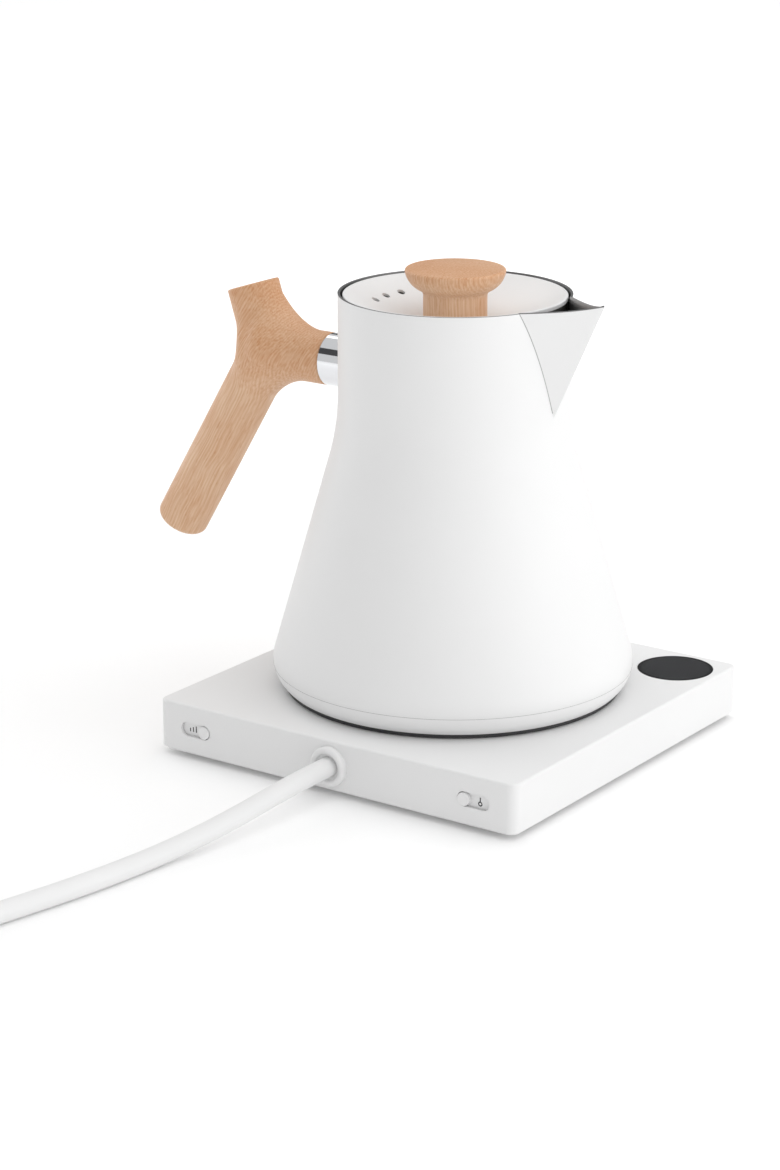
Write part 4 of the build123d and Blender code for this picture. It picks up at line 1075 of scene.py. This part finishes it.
class CordShape:
    """The cord's control points in millimetres, and where its plug begins."""

    def __init__(self, points_per_turn):
        self.points = [Vector((x, CORD_START_Y + y, z)) for x, y, z in CORD_ROUTE]
        arrival = (self.points[-1] - self.points[-2]).normalized()
        inward = Vector((arrival.y, -arrival.x, 0.0)).normalized()
        centre = self.points[-1] + inward * COIL_OUTER_R
        first = self.points[-1] - centre
        start = atan2(first.y, first.x)
        whole = 2 * 2 * pi + (start - radians(TAIL_ANGLE)) % (2 * pi)
        step = 2 * pi / points_per_turn
        turned = step * 0.9
        while turned < whole - step / 3:
            spiral_in = ease((turned - radians(COIL_INWARD_AT)) / radians(60))
            climb = ease((turned - radians(COIL_CLIMB_AT)) / radians(90))
            spread = ease((turned - radians(COIL_SPREAD_AT)) / radians(60))
            radius = COIL_OUTER_R + (COIL_INNER_R - COIL_OUTER_R) * spiral_in
            radius += (COIL_TOP_R - COIL_INNER_R) * spread
            height = FLOOR_LAYER_Z + (TOP_LAYER_Z - FLOOR_LAYER_Z) * climb
            angle = start - turned
            reach = radius / cos(step / 2)
            self.points.append(Vector((centre.x + reach * cos(angle), centre.y + reach * sin(angle), height)))
            turned += step
        leave = radians(TAIL_ANGLE)
        self.way = Vector((sin(leave), -cos(leave), 0.0))
        foot = centre + Vector((cos(leave), sin(leave), 0.0)) * COIL_TOP_R
        self.tail_start = Vector((foot.x, foot.y, TOP_LAYER_Z))
        self.relief_start = self.tail_start + self.way * TAIL_LENGTH
        for share_of_tail in (0.0, 0.4, 0.75, 1.0):
            self.points.append(self.tail_start + self.way * TAIL_LENGTH * share_of_tail)

    def plug_matrix(self):
        """Local Z along the cord at the plug's strain relief, local Y up, in metres."""
        side = Vector((0.0, 0.0, 1.0)).cross(self.way)
        turn = Matrix((side, Vector((0.0, 0.0, 1.0)), self.way)).transposed().to_4x4()
        return Matrix.Translation(self.relief_start * MM) @ turn


def make_cord():
    """The mains cord in one smooth line: out of the grommet, down, along the floor and into its coil."""
    sizes = bpy.context.scene.kettle_sizes
    shape = CordShape(sizes.coil_points)
    curve = bpy.data.curves.new("mains_cord", "CURVE")
    curve.dimensions = "3D"
    line = curve.splines.new("NURBS")
    line.points.add(len(shape.points) - 1)
    for point, place in zip(line.points, shape.points):
        point.co = (*(place * MM), 1.0)
    line.order_u = 3
    line.use_endpoint_u = True
    line.resolution_u = 12
    curve.bevel_depth = sizes.cord_diameter / 2
    curve.bevel_resolution = 10
    curve.use_fill_caps = True
    curve.materials.append(material("cord_jacket"))
    cord = add_object("mains_cord", curve)
    attach(cord, "base", "cord_jacket", "power_cord", "cord_coil", "cord_tail")
    plug = make_plug(shape, sizes)


def make_plug(shape, sizes):
    """Moulded plug: a ringed strain relief that flows into a tapered, rounded body."""
    place = shape.plug_matrix()
    rings = sizes.relief_rings
    pitch = RELIEF_LENGTH * MM / rings
    outline = [(0.0, -0.5 * MM), (4.3 * MM, -0.5 * MM)]
    for k in range(rings):
        grow = k / rings
        rib = (4.55 + 1.0 * grow) * MM
        groove = rib - 0.75 * MM
        low = k * pitch
        outline += [(rib, low), (rib, low + 0.55 * pitch)]
        outline += [(groove, low + 0.62 * pitch), (groove, low + 0.93 * pitch)]
    outline += [(5.6 * MM, RELIEF_LENGTH * MM), (5.6 * MM, (RELIEF_LENGTH + 2) * MM)]
    outline += [(0.0, (RELIEF_LENGTH + 2) * MM)]
    relief = lathe("plug_relief", outline, "cord_jacket", place, segments=48)
    attach(relief, "base", "cord_jacket")

    bm = bmesh.new()
    corner_steps = 6
    sections = (
        (RELIEF_LENGTH, 12.6, 12.6, 6.2),
        (RELIEF_LENGTH + 1.2, 15.0, 14.8, 5.5),
        (RELIEF_LENGTH + 0.55 * PLUG_TAPER, 20.5, 20.0, 4.5),
        (RELIEF_LENGTH + PLUG_TAPER, 26.0, 24.2, 4.0),
        (RELIEF_LENGTH + PLUG_LENGTH - 1.2, 26.0, 24.2, 4.0),
        (RELIEF_LENGTH + PLUG_LENGTH - 0.3, 25.4, 23.6, 3.7),
        (RELIEF_LENGTH + PLUG_LENGTH, 24.4, 22.6, 3.2),
    )
    loops = []
    for height, width, depth, corner in sections:
        loop = []
        for quarter, (sx, sy) in enumerate(((1, 1), (-1, 1), (-1, -1), (1, -1))):
            centre = (sx * (width / 2 - corner), sy * (depth / 2 - corner))
            for x, y in arc(centre, corner, 90 * quarter, 90 * (quarter + 1), corner_steps):
                loop.append(bm.verts.new((x * MM, y * MM, height * MM)))
        loops.append(loop)
    for lower, upper in zip(loops, loops[1:]):
        for k in range(len(lower)):
            after = (k + 1) % len(lower)
            bm.faces.new((lower[k], lower[after], upper[after], upper[k]))
    bm.faces.new(loops[0][::-1])
    bm.faces.new(loops[-1])
    bmesh.ops.recalc_face_normals(bm, faces=bm.faces)
    plug = piece_from("plug_moulding", bm, "cord_jacket", place=place)
    shade(plug, 35)
    attach(plug, "base", "cord_jacket", "plug_body")
    dress_node("plug_blades")

    for side, name in ((1, "plug_ridges_left"), (-1, "plug_ridges_right")):
        start = Vector((side * 12.9, 0.0, RELIEF_LENGTH + PLUG_TAPER + 1.5)) * MM
        turn = place.to_quaternion() @ Euler((radians(90), 0.0, 0.0)).to_quaternion()
        ridges = from_tree(
            name,
            "Ridge Row",
            Count=sizes.grip_ridges,
            Pitch=RIDGE_PITCH,
            Ridge_Length=RIDGE_LENGTH,
            Ridge_Radius=RIDGE_R,
            Centre=place @ start,
            Turn=turn.to_euler(),
            Material=material("cord_jacket"),
        )
        attach(ridges, "base", "cord_jacket")
    return plug


# ---------------------------------------------------------------- lid, base and inner parts
def make_lid():
    """The lid's dish, skirt and hardware keep their shape; the turned knob gets its own grain."""
    for name in ("lid_disc", "lid_skirt", "lid_baffle", "lid_seal", "knob_washer", "knob_screw"):
        dress_node(name)
    dress_node("lid_knob", "knob_wood")


def make_base():
    """Housing, display, dial, switches and their pictograms."""
    sizes = bpy.context.scene.kettle_sizes
    for name in frame["record"]["behaviour"]["bodies"]["base"]:
        if not nodes[name].hide_render:
            dress_node(name)
    dial_low, dial_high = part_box("control_dial")
    dial_centre = (dial_low + dial_high) / 2
    dial_radius = (dial_high.x - dial_low.x) / 2
    ribs = from_tree(
        "dial_ribs",
        "Rib Ring",
        Count=sizes.dial_ribs,
        Ring_Radius=dial_radius - 0.15 * MM,
        Rib_Radius=0.35 * MM,
        Rib_Height=dial_high.z - dial_low.z - 3.4 * MM,
        Centre=dial_centre - Vector((0.0, 0.0, 0.5 * MM)),
        Material=material("white_plastic"),
    )
    attach(ribs, "dial", "white_plastic")
    for name in ("control_dial", "encoder_shaft", "encoder_plunger", "hold_slider", "unit_slider"):
        dress_node(name)
    make_pictograms()


NUB_REACH = 2.2 * MM  # from a nub's face back to its carrier's face
MARK_OFFSET = 6.6 * MM  # from a nub's centre to its pictogram
STROKE_R = 0.26 * MM


def make_pictograms():
    """Flat ink marks on the carriers: three rising bars for hold, a thermometer for the unit."""
    ink = material("printed_ink")
    for node, body, side in (("hold_slider", "hold_switch", -1), ("unit_slider", "unit_switch", 1)):
        low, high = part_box(node)
        middle_z = (low.z + high.z) / 2
        nub_x = (low.x + high.x) / 2
        plate_y = low.y + NUB_REACH
        centre_x = nub_x + side * MARK_OFFSET
        verts = []
        edges = []
        if side < 0:
            for k in (-1, 0, 1):
                x = centre_x + k * 1.5 * MM
                bar_top = middle_z + (0.2 + 0.55 * (k + 1)) * MM
                verts += [(x, plate_y, middle_z - 1.3 * MM), (x, plate_y, bar_top)]
                edges.append((len(verts) - 2, len(verts) - 1))
        else:
            verts += [(centre_x, plate_y, middle_z - 0.4 * MM), (centre_x, plate_y, middle_z + 1.5 * MM)]
            edges.append((0, 1))
            ring = [2 * pi * k / 16 for k in range(16)]
            first = len(verts)
            bulb_r = 0.75 * MM
            bulb_z = middle_z - 1.1 * MM
            verts += [(centre_x + bulb_r * cos(t), plate_y, bulb_z + bulb_r * sin(t)) for t in ring]
            edges += [(first + k, first + (k + 1) % 16) for k in range(16)]
        mark = from_tree(
            f"{body}_mark", "Bead Along Path", verts, edges, Bead_Radius=STROKE_R, Material=ink
        )
        for vert in mark.data.vertices:
            vert.co.y = plate_y + (vert.co.y - plate_y) * 0.3
        attach(mark, body, "component_case")


def make_inner_parts():
    """Underside, heater and coupler parts keep their CAD shape under finished materials."""
    dress = ["kettle_socket", "socket_contacts"]
    dress += [n for n in frame["record"]["behaviour"]["bodies"]["kettle"] if not nodes[n].hide_render]
    for name in dress:
        dress_node(name)


# ---------------------------------------------------------------- operators and panel
class KETTLE_OT_materials(Operator):
    """Make every finish and the trees that repeated shapes come from"""

    bl_idname = "kettle.materials"
    bl_label = "Finishes"

    def execute(self, context):
        make_materials()
        make_trees()
        return {"FINISHED"}


class KETTLE_OT_stage(Operator):
    """Set up the floor, the soft light and the camera"""

    bl_idname = "kettle.stage"
    bl_label = "Stage"

    def execute(self, context):
        make_stage()
        return {"FINISHED"}


class KETTLE_OT_cord(Operator):
    """Lay the mains cord, its coil and its plug"""

    bl_idname = "kettle.cord"
    bl_label = "Cord and Plug"

    def execute(self, context):
        make_cord()
        return {"FINISHED"}


class KETTLE_OT_vessel(Operator):
    """Form the vessel's shell and its folded spout"""

    bl_idname = "kettle.vessel"
    bl_label = "Vessel and Spout"

    def execute(self, context):
        make_vessel()
        return {"FINISHED"}


class KETTLE_OT_handle(Operator):
    """Carve the wooden handle"""

    bl_idname = "kettle.handle"
    bl_label = "Handle"

    def execute(self, context):
        make_handle()
        return {"FINISHED"}


class KETTLE_OT_lid(Operator):
    """Finish the lid and its knob"""

    bl_idname = "kettle.lid"
    bl_label = "Lid"

    def execute(self, context):
        make_lid()
        return {"FINISHED"}


class KETTLE_OT_base(Operator):
    """Finish the power base with its display, dial and switches"""

    bl_idname = "kettle.base"
    bl_label = "Power Base"

    def execute(self, context):
        make_base()
        return {"FINISHED"}


class KETTLE_OT_inner_parts(Operator):
    """Finish the underside, the heater and the coupler's parts"""

    bl_idname = "kettle.inner_parts"
    bl_label = "Inner Parts"

    def execute(self, context):
        make_inner_parts()
        return {"FINISHED"}


class KETTLE_PT_panel(Panel):
    """Lists the kettle's steps, sizes and finishes"""

    bl_idname = "KETTLE_PT_panel"
    bl_label = "Kettle"
    bl_space_type = "VIEW_3D"
    bl_region_type = "UI"
    bl_category = "Kettle"

    def draw(self, context):
        for operator in STEPS:
            self.layout.operator(operator.bl_idname)
        for group in (context.scene.kettle_sizes, context.scene.kettle_finish):
            box = self.layout.box()
            for name in group.__annotations__:
                box.prop(group, name)


STEPS = (
    KETTLE_OT_materials,
    KETTLE_OT_stage,
    KETTLE_OT_cord,
    KETTLE_OT_vessel,
    KETTLE_OT_handle,
    KETTLE_OT_lid,
    KETTLE_OT_base,
    KETTLE_OT_inner_parts,
)
CLASSES = (KettleSizes, KettleFinish, *STEPS, KETTLE_PT_panel)


def register():
    for cls in CLASSES:
        bpy.utils.register_class(cls)
    bpy.types.Scene.kettle_sizes = PointerProperty(type=KettleSizes)
    bpy.types.Scene.kettle_finish = PointerProperty(type=KettleFinish)


def unregister():
    del bpy.types.Scene.kettle_finish
    del bpy.types.Scene.kettle_sizes
    for cls in reversed(CLASSES):
        bpy.utils.unregister_class(cls)


def main():
    """Builds everything in order."""
    register()
    bpy.ops.kettle.materials()
    bpy.ops.kettle.stage()
    bpy.ops.kettle.cord()
    bpy.ops.kettle.vessel()
    bpy.ops.kettle.handle()
    bpy.ops.kettle.lid()
    bpy.ops.kettle.base()
    bpy.ops.kettle.inner_parts()


if __name__ == "__main__":
    main()
